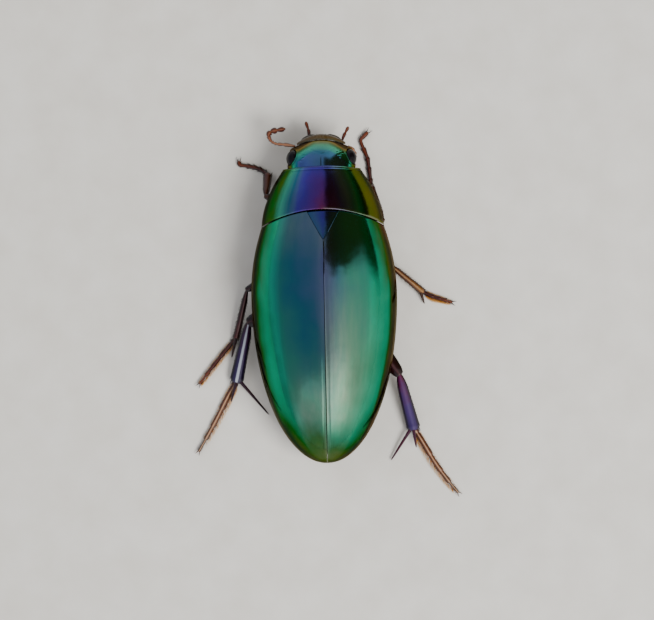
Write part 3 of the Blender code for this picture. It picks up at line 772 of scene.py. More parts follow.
def head_half(y):
    """Half width of the head at y: one minus a power, under a root, for a blunt rounded front."""
    ahead = rising(y, HEAD_REAR, HEAD_TIP - HEAD_REAR)
    return 3.68 * np.sqrt(1.0 - ahead**2.6)


def head_grids(s, v):
    """Upper and lower face of the head for arrays s and v."""
    ahead = (s - HEAD_REAR) / (HEAD_FRONT - HEAD_REAR)
    bend = 0.27 + 0.63 * ahead
    x = v * head_half(s - bend)
    y = s - bend * v**2
    side = 5.05 - 0.2 * ahead
    upper = side + 0.1 + (7.45 - 1.35 * ahead - 0.75 * ahead**3 - side) * dome(v)
    lower = side - 0.1 - (side - 3.25 - 0.75 * ahead) * hollow(v)
    return np.stack([x, y, upper], axis=-1), np.stack([x, y, lower], axis=-1)


def eye_distance(points):
    """Distance from the nearer eye's surface, as a share of the eye's size: 0 on it, below 0 inside."""
    folded = points.copy()
    folded[..., 0] = np.abs(folded[..., 0])
    return np.linalg.norm((folded - EYE_CENTRE) / EYE_RADII, axis=-1) - 1.0


def head_mark(y, s, v, from_front):
    """Place on the colour scale: blue behind, teal ahead, then green to brown round the front and sides."""
    ahead = (y - HEAD_REAR) / (HEAD_TIP - HEAD_REAR)
    mark = np.interp(ahead, [0.0, 0.3, 0.5, 0.72], [0.24, 0.27, 0.38, 0.48])
    front = np.interp(from_front, [0.0, 0.25, 0.5, 0.85, 1.2, 1.6, 2.0],
                      [1.0, 0.96, 0.84, 0.66, 0.53, 0.44, 0.0])
    side = np.interp(np.abs(v) + 0.0 * s, [0.55, 0.8, 0.9, 1.0], [0.0, 0.52, 0.86, 1.0])
    return np.maximum(np.maximum(mark, front), side)


def make_head():
    """The head with its lines, pits and eye rings."""
    s = (HEAD_REAR - TUCK + (HEAD_FRONT - HEAD_REAR + TUCK) * fine_at_ends(84, 1.4))[:, None]
    v = across_body(84)
    upper, lower = head_grids(s, v)
    x, y = upper[..., 0], upper[..., 1]
    face_line = y - (FACE_LINE + 0.42 * np.abs(x) ** 1.15)
    height = -0.016 * ditch(face_line, 0.07) * falling(np.abs(x), 2.75, 0.4)
    height = height - 0.012 * ditch(x, 0.07) * falling(y, FACE_LINE, 0.5)
    ring = eye_distance(upper)
    height = height + 0.06 * ditch(ring - 0.2, 0.12)
    pit_places = np.random.default_rng(4).normal((0.0, 0.0), (0.16, 0.3), (16, 2)) + (2.05, 15.6)
    for pit_x, pit_y in pit_places:
        height = height - 0.03 * ditch(np.hypot(np.abs(x) - pit_x, y - pit_y), 0.05)
    from_rear = path_length(upper, 0)
    from_front = from_rear[-1:] - from_rear
    outer = lifted(upper, height - rounded(from_rear, 0.1))
    outer[..., 2] -= rounded(from_front, 0.42) * 1.3 * (1.0 - v**6)
    outer[..., 2] = np.where(ring < 0.06, np.minimum(outer[..., 2], 5.3), outer[..., 2])
    inside = from_front - 0.7 * rising(np.abs(x), 0.8, 1.6)
    mark = head_mark(y, s, v, inside)
    dust_and_sheen = np.interp(inside, [0.0, 0.3, 0.6, 1.0, 1.6, 2.2], [0.12, 0.26, 0.27, 0.22, 0.10, 0.03])
    dust_and_sheen = dust_and_sheen * (1.0 - 0.65 * rising(np.abs(x), 0.4, 1.6))
    put("head", plate(outer, lower, mark, 1.0), shell, ("head",), dust_and_sheen=outer_only(dust_and_sheen))


make_head()

# %% [markdown]
# ## The eyes
#
# A water beetle's eye is a smooth dark dome made of thousands of six-sided lenses. The dome is a stack of
# rings. The lenses are far too small to model, so the material draws them: a Voronoi texture gives cells of
# about 0.03 mm, and a bump makes each cell a little lens under a clear coat.

# %% The eyes
def eye_finish():
    """Blue-black lenses under a thin clear coat."""
    material, tree, shader = new_finish("eye", 0.12, coat=0.12, coat_roughness=0.04, specular=0.15)
    tint = ramp(tree, noise(tree, 0.5), [(0.3, rgb(4, 5, 9)), (0.7, rgb(16, 12, 16))])
    lens = math_node(tree, "SUBTRACT", 1.0, cells(tree, 0.032))
    connect(tree, shader, tint, normal=bump(tree, lens, 0.004, 0.2))
    return material


EYE_RINGS, EYE_SIDES = 33, 48
eye = eye_finish()
lift = np.linspace(-math.pi / 2.0, math.pi / 2.0, EYE_RINGS)[:, None]
turn = np.linspace(0.0, 2.0 * math.pi, EYE_SIDES, endpoint=False)[None, :]
ring = np.cos(lift)
ball = np.stack([ring * np.cos(turn), np.sin(lift) + 0.0 * turn, ring * np.sin(turn)], axis=-1)
for name, side in (("eye_left", -1.0), ("eye_right", 1.0)):
    points = (EYE_CENTRE * (side, 1.0, 1.0) + ball * EYE_RADII).reshape(-1, 3)
    faces = grid_faces(EYE_RINGS, EYE_SIDES, wrap=True)
    put(name, (points, faces, np.zeros(len(points))), eye, (name,))

# %% [markdown]
# ## The underside
#
# Three plates close the body below. On the real beetle they are dark and velvety: a felt of very short hairs
# holds a film of air under water. The felt is far finer than any mesh, so it is left to the material, which
# has a soft sheen and a fine bump. The mesh has the plates' grooves, and the raised bare line along the
# belly. Each plate is a grid on the belly's formula, closed above by a grid that follows the lid.

# %% Underside finishes
def felt_finish():
    """Black-brown skin under short golden-brown felt. The mark says where the skin is bare."""
    material, tree, shader = new_finish("felt", 0.55, specular=0.35)
    shader.inputs["Sheen Weight"].default_value = 0.35
    shader.inputs["Sheen Roughness"].default_value = 0.4
    shader.inputs["Sheen Tint"].default_value = rgb(196, 160, 104)
    browns = [(0.25, rgb(30, 22, 18)), (0.5, rgb(48, 34, 24)), (0.75, rgb(74, 52, 32))]
    bare = ramp(tree, carried(tree, "mark"), [(0.35, BLACK), (0.65, WHITE)])
    skin = blend(tree, bare, ramp(tree, noise(tree, 1.4, 4.0), browns), rgb(26, 17, 15))
    hairs = bump(tree, noise(tree, 0.05, 2.0, drawn_out(tree, 0.3)), 0.012, 0.5)
    connect(tree, shader, skin, remap(tree, bare, 0.62, 0.2), hairs)
    return material


def horn_finish(name, dark, mid, light, roughness, coat, edge=(14, 8, 8), painted_gleam=(120, 100, 90), painted_gleam_share=0.15):
    """Horn: a colour scale along it, painted shade at the side edges, a painted highlight on the ridge, fine
    pits.
    """
    material, tree, shader = new_finish(name, roughness, coat=coat, coat_roughness=0.08, specular=0.35)
    scale = [(0.0, rgb(*dark)), (0.5, rgb(*mid)), (1.0, rgb(*light))]
    along = ramp(tree, drifting_mark(tree, 0.8, 0.7, 4.0), scale)
    rim = carried(tree, "rim")
    # Painted highlight: the ridge, where rim is near 0, is blended towards the pale gleam colour.
    paler = blend(tree, remap(tree, rim, painted_gleam_share, 0.0, 0.002, 0.03), along, rgb(*painted_gleam))
    # Painted shade: the sides darken towards the edge colour as rim grows.
    darker = blend(tree, remap(tree, rim, 0.0, 0.9, 0.06, 0.55), paler, rgb(*edge))
    wear = remap(tree, noise(tree, 0.3, 4.0), roughness - 0.08, roughness + 0.1)
    pits = ramp(tree, cells(tree, 0.11), [(0.0, BLACK), (0.28, WHITE)])
    connect(tree, shader, darker, wear, bump(tree, pits, 0.006, 0.6))
    return material


felt = felt_finish()
black_horn = horn_finish("black_horn", (16, 11, 12), (30, 18, 18), (52, 28, 20), 0.2, 0.5)
print("finishes so far:", ", ".join(item.name for item in (shell, eye, felt, black_horn)))

# %% The plates below
BREAST_GAP = 0.24  # between the shield's inner face and the fore breast


def make_breast():
    """The fore breast, under the shield."""
    s = np.linspace(SHIELD_FRONT + 0.1, SHIELD_REAR - 0.06, 40)[:, None]
    v = across_body(40)
    upper = back(s, v, LID_INSET)
    upper[..., 2] = edge_height(s - sweep(s)) - SHIELD_WALL - BREAST_GAP + SHIELD_CROWN * dome(v)
    lower = belly(s, v, LID_INSET)
    x, y = lower[..., 0], lower[..., 1]
    side_seam = np.abs(x) - (3.3 + 0.12 * (y - 10.0))
    height = 0.04 * ditch(side_seam, 0.06) + 0.05 * ditch(y - 11.6, 0.08) * (np.abs(x) < 3.2)
    ridge = 0.28 * ditch(x, 0.22) * rising(y, 9.7, 2.0) * falling(y, 14.0, 1.5)
    lower[..., 2] += height - ridge
    put("prosternum", plate(upper, lower, ditch(x, 0.35)), felt, ("prosternum",))


def hind_breast_relief(x, y):
    """The hind breast's two seams, its two low crests, and its bare middle."""
    seams = 0.07 * ditch(y - 6.1 + 0.2 * np.abs(x), 0.08) + 0.05 * ditch(np.abs(x) - 4.9 + 0.1 * y, 0.07)
    crests = -0.1 * ditch(np.abs(x) - 0.75, 0.2) * falling(y, 6.0, 2.0)
    return seams + crests, ditch(x, 0.8)


def belly_relief(x, y):
    """Four bowed grooves that part the belly's five rings, and the bare crest along its middle."""
    height = -0.14 * ditch(x, 0.3) * rising(y, -17.0, 3.0)
    for ring in (-4.3, -7.6, -10.8, -13.8):
        behind_ring = y + 0.012 * x**2 - ring
        height = height + 0.09 * ditch(behind_ring, 0.09) - 0.05 * ditch(behind_ring + 0.35, 0.3)
    return height, ditch(x, 0.3)


def make_hind_plate(name, stations, relief):
    """A plate under the wing cases, a little smaller than the space that they leave."""
    s, v = stations[:, None], across_body(46)
    upper = back(s, v, LID_INSET + 0.12, LID_DEPTH + 0.12, LID_DROP + 0.1)
    lower = belly(s, v, LID_INSET + 0.12)
    height, bare = relief(lower[..., 0], lower[..., 1])
    lower[..., 2] += height * np.clip(1.0 - np.abs(v) ** 8, 0.0, 1.0)
    put(name, plate(upper, lower, bare), felt, (name,))


make_breast()
make_hind_plate("metathorax", np.linspace(SHIELD_REAR - 0.1, -0.93, 80), hind_breast_relief)
make_hind_plate("abdomen", -0.97 + (TAIL_Y + LID_INSET + 0.12 + 0.97) * fine_at_end(130), belly_relief)

# %% [markdown]
# ## The keel
#
# A long glossy keel runs along the breast and ends behind in a free spine. It is the bar that the beetle
# rests on. The mesh is a row of cross sections: each is an oval whose lower part is drawn in to a narrow
# flat, and the heights follow the solid's, so the flat lies on the floor at the same level.

# %% The keel
KEEL_SIDES = 36


def make_keel():
    """Cross sections along the keel: half width, lowest and highest height by station."""
    y = np.linspace(7.6, -6.2, 120)
    half = np.interp(y, [-6.2, -3.6, -2.6, 5.4, 6.3, 7.6], [0.16, 0.36, 0.42, 0.42, 0.36, 0.2])
    low = np.interp(y, [-6.2, -3.6, -2.6, 5.4, 6.3, 7.6], [1.28, 0.32, 0.0, 0.0, 0.5, 1.58])
    high = np.interp(y, [-6.2, -3.6, -2.6, 7.6], [1.6, 1.93, 2.2, 2.2])
    turn = np.linspace(0.0, 2.0 * math.pi, KEEL_SIDES, endpoint=False)
    down = 0.5 - 0.5 * np.sin(turn)
    pinch = 1.0 - 0.45 * down**1.5
    x = half[:, None] * (np.sign(np.cos(turn)) * np.abs(np.cos(turn)) ** 0.7 * pinch)[None, :]
    z = high[:, None] - (high - low)[:, None] * down[None, :]
    groove = 0.05 * ditch(x, 0.1) * rising(y[:, None], -2.0, 2.0) * (down[None, :] < 0.5)
    points = np.stack([x, y[:, None] + 0.0 * x, z - groove], axis=-1)
    tip = points[-1:].mean(axis=1, keepdims=True) + np.array([0.0, -0.35, -0.05])
    root = points[:1].mean(axis=1, keepdims=True)
    points = np.concatenate([np.repeat(root, KEEL_SIDES, 1), points, np.repeat(tip, KEEL_SIDES, 1)])
    marks = np.full(points.shape[:2], 0.3).ravel()
    faces = grid_faces(len(points), KEEL_SIDES, wrap=True)
    put("sternal_keel", (points.reshape(-1, 3), faces, marks), black_horn, ("sternal_keel",))


make_keel()

# %% [markdown]
# ## The legs
#
# Each leg has a root, a thigh, a shin and a foot. The thigh is a flattened spindle, the shin widens to its
# end and carries rows of spines, the middle and hind shins also carry long spurs, and the foot has five
# joints and two hooked claws. All are tubes along routes, and the joints' places are the pose. Spines are
# many and tiny, so each is a cone of a few faces, and all the cones of a row are worked out at once as one
# array.

# %% The pose: hip, knee, ankle, the foot's bends and the spurs' tips, in millimetres
LEGS = {
    "fore_left": ((-2.75, 10.35, 1.6), (-6.2, 11.35, 2.1), (-5.95, 13.75, 0.7),
                  [(-6.45, 14.2), (-7.3, 14.6), (-8.37, 14.83), (-9.03, 15.0), (-9.11, 15.83)], []),
    "fore_right": ((2.75, 10.15, 1.6), (6.62, 8.5, 2.1), (5.3, 12.2, 0.7),
                   [(5.36, 12.65), (5.18, 14.51), (4.98, 15.61), (4.36, 17.26), (4.69, 17.8),
                    (5.48, 18.6)], []),
    "mid_left": ((-2.75, 3.45, 1.6), (-8.45, 1.2, 2.2), (-9.8, -4.2, 0.6),
                 [(-10.2, -4.55), (-11.74, -6.36), (-13.3, -8.29), (-14.2, -9.48)], [(-10.3, -6.2, 0.75)]),
    "mid_right": ((2.75, 3.6, 1.6), (7.3, 3.6, 2.2), (10.75, 0.65, 0.6),
                  [(11.15, 0.42), (11.9, 0.05), (12.97, -0.29), (14.49, -0.81)], [(11.0, -0.7, 0.3)]),
    "hind_left": ((-2.8, -0.7, 1.6), (-8.35, -2.4, 2.1), (-9.82, -8.8, 0.75),
                  [(-10.0, -9.15), (-10.85, -10.6), (-12.42, -13.56), (-14.35, -16.91)],
                  [(-6.4, -12.58, 0.3), (-10.45, -11.1, 0.8)]),
    "hind_right": ((2.8, -1.4, 1.6), (8.05, -8.4, 2.1), (9.55, -14.4, 0.75),
                   [(9.8, -14.75), (10.55, -15.98), (11.96, -18.41), (13.45, -20.51), (14.62, -21.96)],
                   [(7.05, -17.87, 0.3), (9.8, -16.5, 0.8)]),
}
knee_heights = sorted({leg[1][2] for leg in LEGS.values()})
print(len(LEGS), "legs, with the middle of their knees", knee_heights, "mm off the floor")

# %% Sizes of the legs: half width and half height, and places along them
FEMUR = {"fore": (0.5, 0.42), "mid": (0.55, 0.42), "hind": (0.95, 0.45)}
TIBIA_START = {"fore": (0.32, 0.3), "mid": (0.28, 0.28), "hind": (0.5, 0.34)}
TIBIA_END = {"fore": (0.46, 0.32), "mid": (0.36, 0.3), "hind": (0.7, 0.4)}
TARSUS = {"fore": 0.28, "mid": 0.3, "hind": 0.38}
FOOT_JOINTS = {
    "fore": (0.0, 0.17, 0.36, 0.53, 0.7, 1.0),
    "mid": (0.0, 0.1, 0.42, 0.65, 0.82, 1.0),
    "hind": (0.0, 0.09, 0.42, 0.66, 0.83, 1.0),
}
COXA = (0.85, 0.42)
COXA_Y = {"fore": 10.3, "mid": 3.6, "hind": -1.0}
COXA_Z = 1.62
print("the widest shin is", 2.0 * max(wide for wide, high in TIBIA_END.values()), "mm wide")

# %% Colours of the legs: dark end, middle, light end, roughness, coat, painted edge shade, painted ridge highlight and its share
LEG_HORN = {
    "fore": horn_finish("fore_horn", (56, 22, 8), (70, 30, 14), (64, 12, 12), 0.2, 0.3,
                        (26, 10, 8), (120, 80, 60)),
    "mid_left": horn_finish("maroon_horn", (36, 4, 10), (42, 14, 16), (70, 30, 24), 0.2, 0.2,
                            (14, 4, 4), (124, 84, 82), 0.25),
    "mid_right": horn_finish("mid_horn", (52, 20, 8), (78, 42, 14), (116, 76, 28), 0.2, 0.2,
                             (26, 10, 4), (160, 124, 76), 0.4),
    # The navy horn has the strongest painted highlight, a pale stripe along the ridge.
    "hind_left": horn_finish("navy_horn", (52, 6, 26), (38, 24, 62), (24, 20, 50), 0.16, 0.3,
                             (5, 3, 8), (178, 184, 196), 0.75),
    "hind_right": horn_finish("hind_horn", (74, 2, 40), (46, 24, 78), (32, 20, 66), 0.17, 0.3,
                              (12, 2, 8), (96, 78, 128), 0.12),
    "thigh": horn_finish("thigh_horn", (26, 4, 8), (38, 8, 14), (48, 10, 22), 0.2, 0.3,
                         (8, 2, 2), (110, 66, 68), 0.2),
}
brown_horn = horn_finish("brown_horn", (62, 24, 16), (100, 60, 38), (80, 58, 44), 0.26, 0.3,
                         (30, 12, 8), (196, 160, 126), 0.6)
red_horn = horn_finish("red_horn", (42, 18, 14), (48, 9, 7), (92, 38, 12), 0.24, 0.2,
                       (14, 4, 3), (104, 58, 44), 0.2)
feeler_horn = horn_finish("feeler_horn", (150, 104, 74), (104, 50, 26), (62, 17, 8), 0.26, 0.2,
                          (36, 12, 7), (170, 122, 88), 0.25)
print(len(LEG_HORN) + 3, "kinds of horn for", len(LEGS), "legs and two pairs of feelers")

# %% Cones for spines and hairs
CONE_SIDES = 4


def cones(roots, tips, radii, bend=None, rows=3):
    """Many thin cones at once: rings round the line from each root to its tip, shrinking to a point.

    bend moves each cone's middle, so that it curves. Returns one shape."""
    roots, tips = np.asarray(roots, dtype=float), np.asarray(tips, dtype=float)
    count = len(roots)
    along = tips - roots
    along = along / np.maximum(np.linalg.norm(along, axis=1, keepdims=True), 1e-9)
    helper = np.where(np.abs(along[:, 2:3]) > 0.9, np.array([[1.0, 0.0, 0.0]]), np.array([UP]))
    aside = np.cross(along, helper)
    aside /= np.linalg.norm(aside, axis=1, keepdims=True)
    above = np.cross(aside, along)
    t = np.linspace(0.0, 1.0, rows)
    centre = roots[:, None] + (tips - roots)[:, None] * t[None, :, None]
    if bend is not None:
        centre = centre + np.asarray(bend)[:, None] * (4.0 * t * (1.0 - t))[None, :, None]
    turn = np.linspace(0.0, 2.0 * math.pi, CONE_SIDES, endpoint=False)
    ring = np.cos(turn)[:, None] * aside[:, None] + np.sin(turn)[:, None] * above[:, None]
    size = np.broadcast_to(np.asarray(radii, dtype=float), count)[:, None] * (1.0 - 0.97 * t**1.5)[None, :]
    points = centre[:, :, None] + size[:, :, None, None] * ring[:, None]
    points[..., 2] = np.maximum(points[..., 2], 0.0)
    around = grid_faces(rows, CONE_SIDES, wrap=True)
    first_ring = np.arange(CONE_SIDES)[None]
    faces = np.concatenate([around, first_ring[:, ::-1], first_ring + (rows - 1) * CONE_SIDES])
    offsets = (np.arange(count) * rows * CONE_SIDES)[:, None, None]
    marks = np.tile(np.repeat(t, CONE_SIDES), count)
    marks = np.stack([marks, 0.0 * marks + 0.35], axis=1)
    return points.reshape(-1, 3), (faces[None] + offsets).reshape(-1, 4), marks


def on_edge(route, half, place, side, share):
    """Points near one edge of a limb at these places, with the limb's directions there."""
    along, aside, above = frame_along(route)
    index = np.clip((place * (len(route) - 1)).astype(int), 0, len(route) - 1)
    edge = np.broadcast_to(np.asarray(half, dtype=float), len(route))[index][:, None]
    return route[index] + side * aside[index] * edge * share, along[index], aside[index], above[index]


def spines_along(route, wide, start, end, count, length, seed, lift=0.15, radius=0.035):
    """Spines on both edges of a limb, leaning towards its end."""
    random = np.random.default_rng(seed)
    place = np.linspace(start, end, count) + random.uniform(-0.01, 0.01, count)
    shapes = []
    for side in (1.0, -1.0):
        root, along, aside, above = on_edge(route, wide, place, side, 0.85)
        lean = random.uniform(0.75, 1.0, (count, 1))
        reach = length * random.uniform(0.8, 1.15, (count, 1))
        tip = root + reach * (along * lean + side * aside * 0.55 + above * lift)
        shapes.append(cones(root, tip, radius))
    return together(shapes)


print("one cone has", len(cones([[0, 0, 0]], [[0, 0, 1]], 0.1)[1]), "faces")

# %% Root and thigh
def beyond(start, end, room):
    """The point that lies room beyond start on the way to end."""
    way = np.subtract(end, start)
    return np.asarray(start) + way * (room / np.linalg.norm(way))


def straight(start, end, count):
    """Evenly spread points from start to end."""
    return np.asarray(start) + np.subtract(end, start) * np.linspace(0.0, 1.0, count)[:, None]


def swelling(count, places, sizes):
    """Sizes along a limb: straight changes between a few places."""
    return np.interp(np.linspace(0.0, 1.0, count), places, sizes)


def make_root(leg, pair, side):
    """The leg's root lies across the breast: a bar that is thickest in its middle."""
    bar = straight((side * 0.75, COXA_Y[pair], COXA_Z), (side * 2.3, COXA_Y[pair], COXA_Z), 30)
    swell = np.sin(np.pi * (0.12 + 0.76 * np.linspace(0.0, 1.0, 30))) ** 0.6
    shape = tube(bar, COXA[0] * swell, COXA[1] * swell, 28, ridge=0.05)
    put(leg + "_coxa", shape, black_horn, (leg + "_coxa",))


def make_thigh(leg, pair, hip, knee):
    """A flattened spindle, with a small collar at the hip and short bristles."""
    wide, high = FEMUR[pair]
    route = straight(hip, knee, 44)
    swell = swelling(44, [0.0, 0.06, 0.2, 0.42, 0.62, 0.85, 0.95, 1.0],
                     [0.52, 0.6, 0.86, 1.0, 0.95, 0.8, 0.68, 0.52])
    thigh = tube(route, wide * swell, high * swell, 26, 0.9, 0.0, ridge=0.08)
    collar = tube(straight(beyond(hip, knee, -0.15), beyond(hip, knee, 0.75), 16), wide * 0.62, high * 0.8)
    bristles = spines_along(route, wide * swell, 0.3, 0.9, 8, 0.22, 3, radius=0.02)
    horn = LEG_HORN["fore" if pair == "fore" else "thigh"]
    put(leg + "_femur", together([thigh, collar, bristles]), horn, (leg + "_femur",))


# %% The shin
def spur(knee, ankle, tip):
    """A long spine that bows up a little and tapers by a root of what is left to its tip."""
    root = beyond(ankle, knee, 0.3) + np.array([0.0, 0.0, 0.05])
    bow = curve_through([root, 0.5 * (root + tip) + (0.0, 0.0, 0.06), tip], 26)
    taper = np.linspace(1.0, 0.0, 26) ** 0.6
    points, faces, marks = tube(bow, 0.06 + 0.15 * taper, 0.06 + 0.13 * taper, 14, 0.1, 0.0, ends=3)
    return points, faces, np.maximum(marks, (-1.0, 0.35))


def make_shin(leg, pair, knee, ankle, spurs):
    """The shin widens towards its end and carries four rows of spines, its spurs and two end teeth."""
    route = straight(beyond(knee, ankle, 0.18), ankle, 60)
    share = np.linspace(0.0, 1.0, 60)
    trim = swelling(60, [0.0, 0.04, 0.1, 0.2, 0.9, 0.97, 1.0], [0.55, 0.7, 0.84, 1.0, 1.0, 1.04, 0.9])
    ends = zip(TIBIA_START[pair], TIBIA_END[pair])
    wide, high = ((near + (far - near) * share) * trim for near, far in ends)
    length = 0.3 if pair == "fore" else 0.42
    shapes = [
        tube(route, wide, high, 28, 0.1, 0.8, ridge=0.1),
        spines_along(route, wide, 0.16, 0.97, 15, length, 11),
        spines_along(route, wide * 0.45, 0.2, 0.95, 10, length * 0.8, 12, lift=0.6),
    ]
    shapes += [spur(knee, ankle, tip) for tip in spurs]
    along, aside, _ = frame_along(route)
    for side in (1.0, -1.0):
        root = route[-3] + side * aside[-3] * wide[-3] * 0.75
        tip = root + along[-1] * (0.75 if pair == "hind" else 0.5) + side * aside[-1] * 0.12
        shapes.append(cones([root], [tip], 0.1, rows=6))
    horn = LEG_HORN[pair if pair == "fore" else leg]
    put(leg + "_tibia", together(shapes), horn, (leg + "_tibia",))


# %% The foot
def piece_of(whole, walked, start, end, count):
    """Points of a curve between two distances along it."""
    place = np.linspace(start, end, count)
    return np.stack([np.interp(place, walked, whole[:, k]) for k in range(3)], axis=-1), place


def make_foot(leg, pair, ankle, foot):
    """Five joints, each a little wider at its far end, small spines there, and two claws."""
    start = np.array(ankle) + (0.0, 0.0, -0.08)
    whole = curve_through([start] + [(x, y, 0.25) for x, y in foot], 400)
    walked = path_length(whole, 0)
    total = walked[-1]
    claw_room = 0.62 if pair == "fore" else 0.5
    joints = np.array(FOOT_JOINTS[pair]) * (total - claw_room)
    taper, last = (0.12, 0.95) if pair == "fore" else (0.42, 0.72)
    swell = swelling(18, [0.0, 0.12, 0.6, 0.92, 1.0], [0.62, 0.8, 0.9, 1.06, 0.95])
    high = 0.24 * swelling(18, [0.0, 0.15, 0.9, 1.0], [0.75, 0.95, 1.08, 0.95])
    shapes = []
    for number in range(5):
        route, place = piece_of(whole, walked, joints[number], joints[number + 1] - 0.03, 18)
        wide = TARSUS[pair] * (1.0 - taper * place / total) * (last if number == 4 else 1.0) * swell
        shapes.append(tube(route, wide, high, 18, number / 5.0, number / 5.0 + 0.2, ridge=0.06, ends=3))
        shapes.append(spines_along(route, wide, 0.6, 0.97, 4, 0.24, number, radius=0.022))
    end = piece_of(whole, walked, total - claw_room, total, 2)[0][0]
    way = whole[-1] - end
    way = way / np.linalg.norm(way)
    aside = np.cross(way, UP)
    for side in (1.0, -1.0):
        claw = curve_through([end - 0.1 * way, end + 0.22 * way + side * 0.16 * aside + (0.0, 0.0, 0.1),
                              end + claw_room * way + side * 0.24 * aside + (0.0, 0.0, -0.16)], 16)
        size = 0.085 * np.linspace(1.0, 0.15, 16)
        shapes.append(tube(claw, size, size, 10, 0.0, 0.3, ends=2))
    horn = brown_horn if pair == "hind" else red_horn
    put(leg + "_tarsus", together(shapes), horn, (leg + "_tarsus",))


for leg, (hip, knee, ankle, foot, spurs) in LEGS.items():
    pair, side_name = leg.split("_")
    make_root(leg, pair, -1.0 if side_name == "left" else 1.0)
    make_thigh(leg, pair, hip, knee)
    make_shin(leg, pair, knee, ankle, spurs)
    make_foot(leg, pair, ankle, foot)

# %% [markdown]
# ## Feelers and mouth
#
# The feelers (antennae) have nine joints, and the last three form a loose felted club. The palps are thinner
# and straighter, with four joints. Each is a row of short tubes along one curve, so the joints show as
# narrow necks. The brown lip plate closes the front of the head, with two hooked jaws under it.

# %% Jointed feelers
def jointed(route_points, joints, radii, club_from=None):
    """Tubes along one curve: joints are shares of its length, radii one for each joint."""
    whole = curve_through(route_points, 300)
    walked = path_length(whole, 0)
    stalk = swelling(16, [0.0, 0.3, 0.85, 1.0], [0.6, 0.85, 1.05, 0.8])
    club = swelling(16, [0.0, 0.25, 0.6, 0.9, 1.0], [0.45, 0.85, 1.1, 0.9, 0.6])
    shapes = []
    for number, radius in enumerate(radii):
        first, last = joints[number] * walked[-1], joints[number + 1] * walked[-1]
        route, _ = piece_of(whole, walked, first, last, 16)
        size = radius * (club if club_from is not None and number >= club_from else stalk)
        start, end = np.array([number, number + 0.9]) / len(radii)
        shapes.append(tube(route, size, size, 18, start, end, ends=3))
        shapes.append(spines_along(route, size, 0.5, 0.9, 4, 0.16, number, radius=0.012))
    return together(shapes)


ANTENNAE = {
    "left": [(-2.95, 16.75, 4.35), (-4.1, 16.95, 4.0), (-4.9, 17.05, 3.8), (-5.5, 17.4, 3.6),
             (-5.74, 18.05, 3.5), (-5.4, 18.42, 3.4), (-4.8, 18.55, 3.3), (-4.03, 18.68, 3.2)],
    "right": [(3.0, 16.6, 4.0), (3.5, 16.2, 3.55), (3.72, 15.7, 3.35), (3.6, 15.2, 3.25),
              (3.2, 14.9, 3.2), (2.75, 14.8, 3.1), (2.3, 14.8, 3.05), (1.75, 14.85, 3.0)],
}
PALPS = {
    "left": [(-2.0, 15.9, 3.0), (-1.75, 16.9, 3.0), (-1.31, 18.03, 3.0), (-1.61, 19.34, 2.8)],
    "right": [(2.0, 15.9, 3.0), (2.2, 16.7, 3.0), (2.4, 17.6, 3.0), (2.96, 18.71, 2.8)],
}
ANTENNA_JOINTS = (0.0, 0.22, 0.34, 0.41, 0.48, 0.54, 0.61, 0.72, 0.85, 1.0)
ANTENNA_SIZES = (0.21, 0.18, 0.15, 0.15, 0.17, 0.23, 0.3, 0.33, 0.27)
PALP_JOINTS = (0.0, 0.12, 0.46, 0.78, 1.0)
PALP_SIZES = (0.22, 0.2, 0.19, 0.18)
for name in ("left", "right"):
    shape = jointed(ANTENNAE[name], ANTENNA_JOINTS, ANTENNA_SIZES, club_from=6)
    put("antenna_" + name, shape, feeler_horn, ("antenna_" + name,))
    shape = jointed(PALPS[name], PALP_JOINTS, PALP_SIZES)
    put("maxillary_palp_" + name, shape, red_horn, ("maxillary_palp_" + name,))

# %% Lip plate, jaws and lower lip
LIP_HALF = 2.66
JAW_Z = 3.72
lip_horn = horn_finish("lip_horn", (66, 76, 62), (68, 50, 22), (46, 32, 4), 0.26, 0.2,
                       (22, 14, 6), (92, 78, 52))


def make_lip():
    """The lip plate: a curved plate between the head's front and a rounded edge, thinner at its ends."""
    x = LIP_HALF * across_body(44)
    ahead = fine_at_ends(26, 1.6)[:, None]
    rear = HEAD_FRONT + 0.03 - 0.9 * (x / 3.37) ** 2
    front = HEAD_TIP - 1.43 * (x / 3.3) ** 2
    y = rear + (front - rear) * ahead
    wide = x + 0.0 * y
    upper = 4.98 - 0.25 * ahead**2 - 0.04 * wide**2 - rounded((1.0 - ahead) * 0.5, 0.16)
    upper = upper - 0.04 * ditch(wide, 0.12) * ahead
    lower = 4.4 - 0.02 * wide**2 + 0.15 * ahead
    middle, thick = 0.5 * (upper + lower), 0.5 * (upper - lower)
    thick = thick * (1.0 - (np.abs(wide) / (LIP_HALF + 0.001)) ** 5) ** 0.5
    mark = 0.15 + 0.85 * ahead + 0.0 * wide
    faces = [np.stack([wide, y, height], -1) for height in (middle + thick, middle - thick)]
    put("labrum", plate(*faces, mark), lip_horn, ("labrum",))


def make_jaw(name, side):
    """A tapered hook that curves in under the lip plate, with two teeth."""
    bends = [(side * x, y, JAW_Z) for x, y in ((2.15, 16.75), (1.75, 17.4), (1.05, 17.75), (0.35, 17.85))]
    hook = curve_through(bends, 40)
    size = swelling(40, [0.0, 0.3, 0.7, 1.0], [0.3, 0.32, 0.24, 0.07])
    shapes = [tube(hook, size, size * 0.85, 18, 0.7, 1.0, ridge=0.1)]
    for place in (18, 25):
        tooth = straight(hook[place], hook[place] + (0.0, -0.42, 0.0), 6)
        shapes.append(tube(tooth, (0.12, 0.1, 0.08, 0.06, 0.04, 0.02), 0.08, 10, ends=2))
    put("mandible_" + name, together(shapes), lip_horn, ("mandible_" + name,))


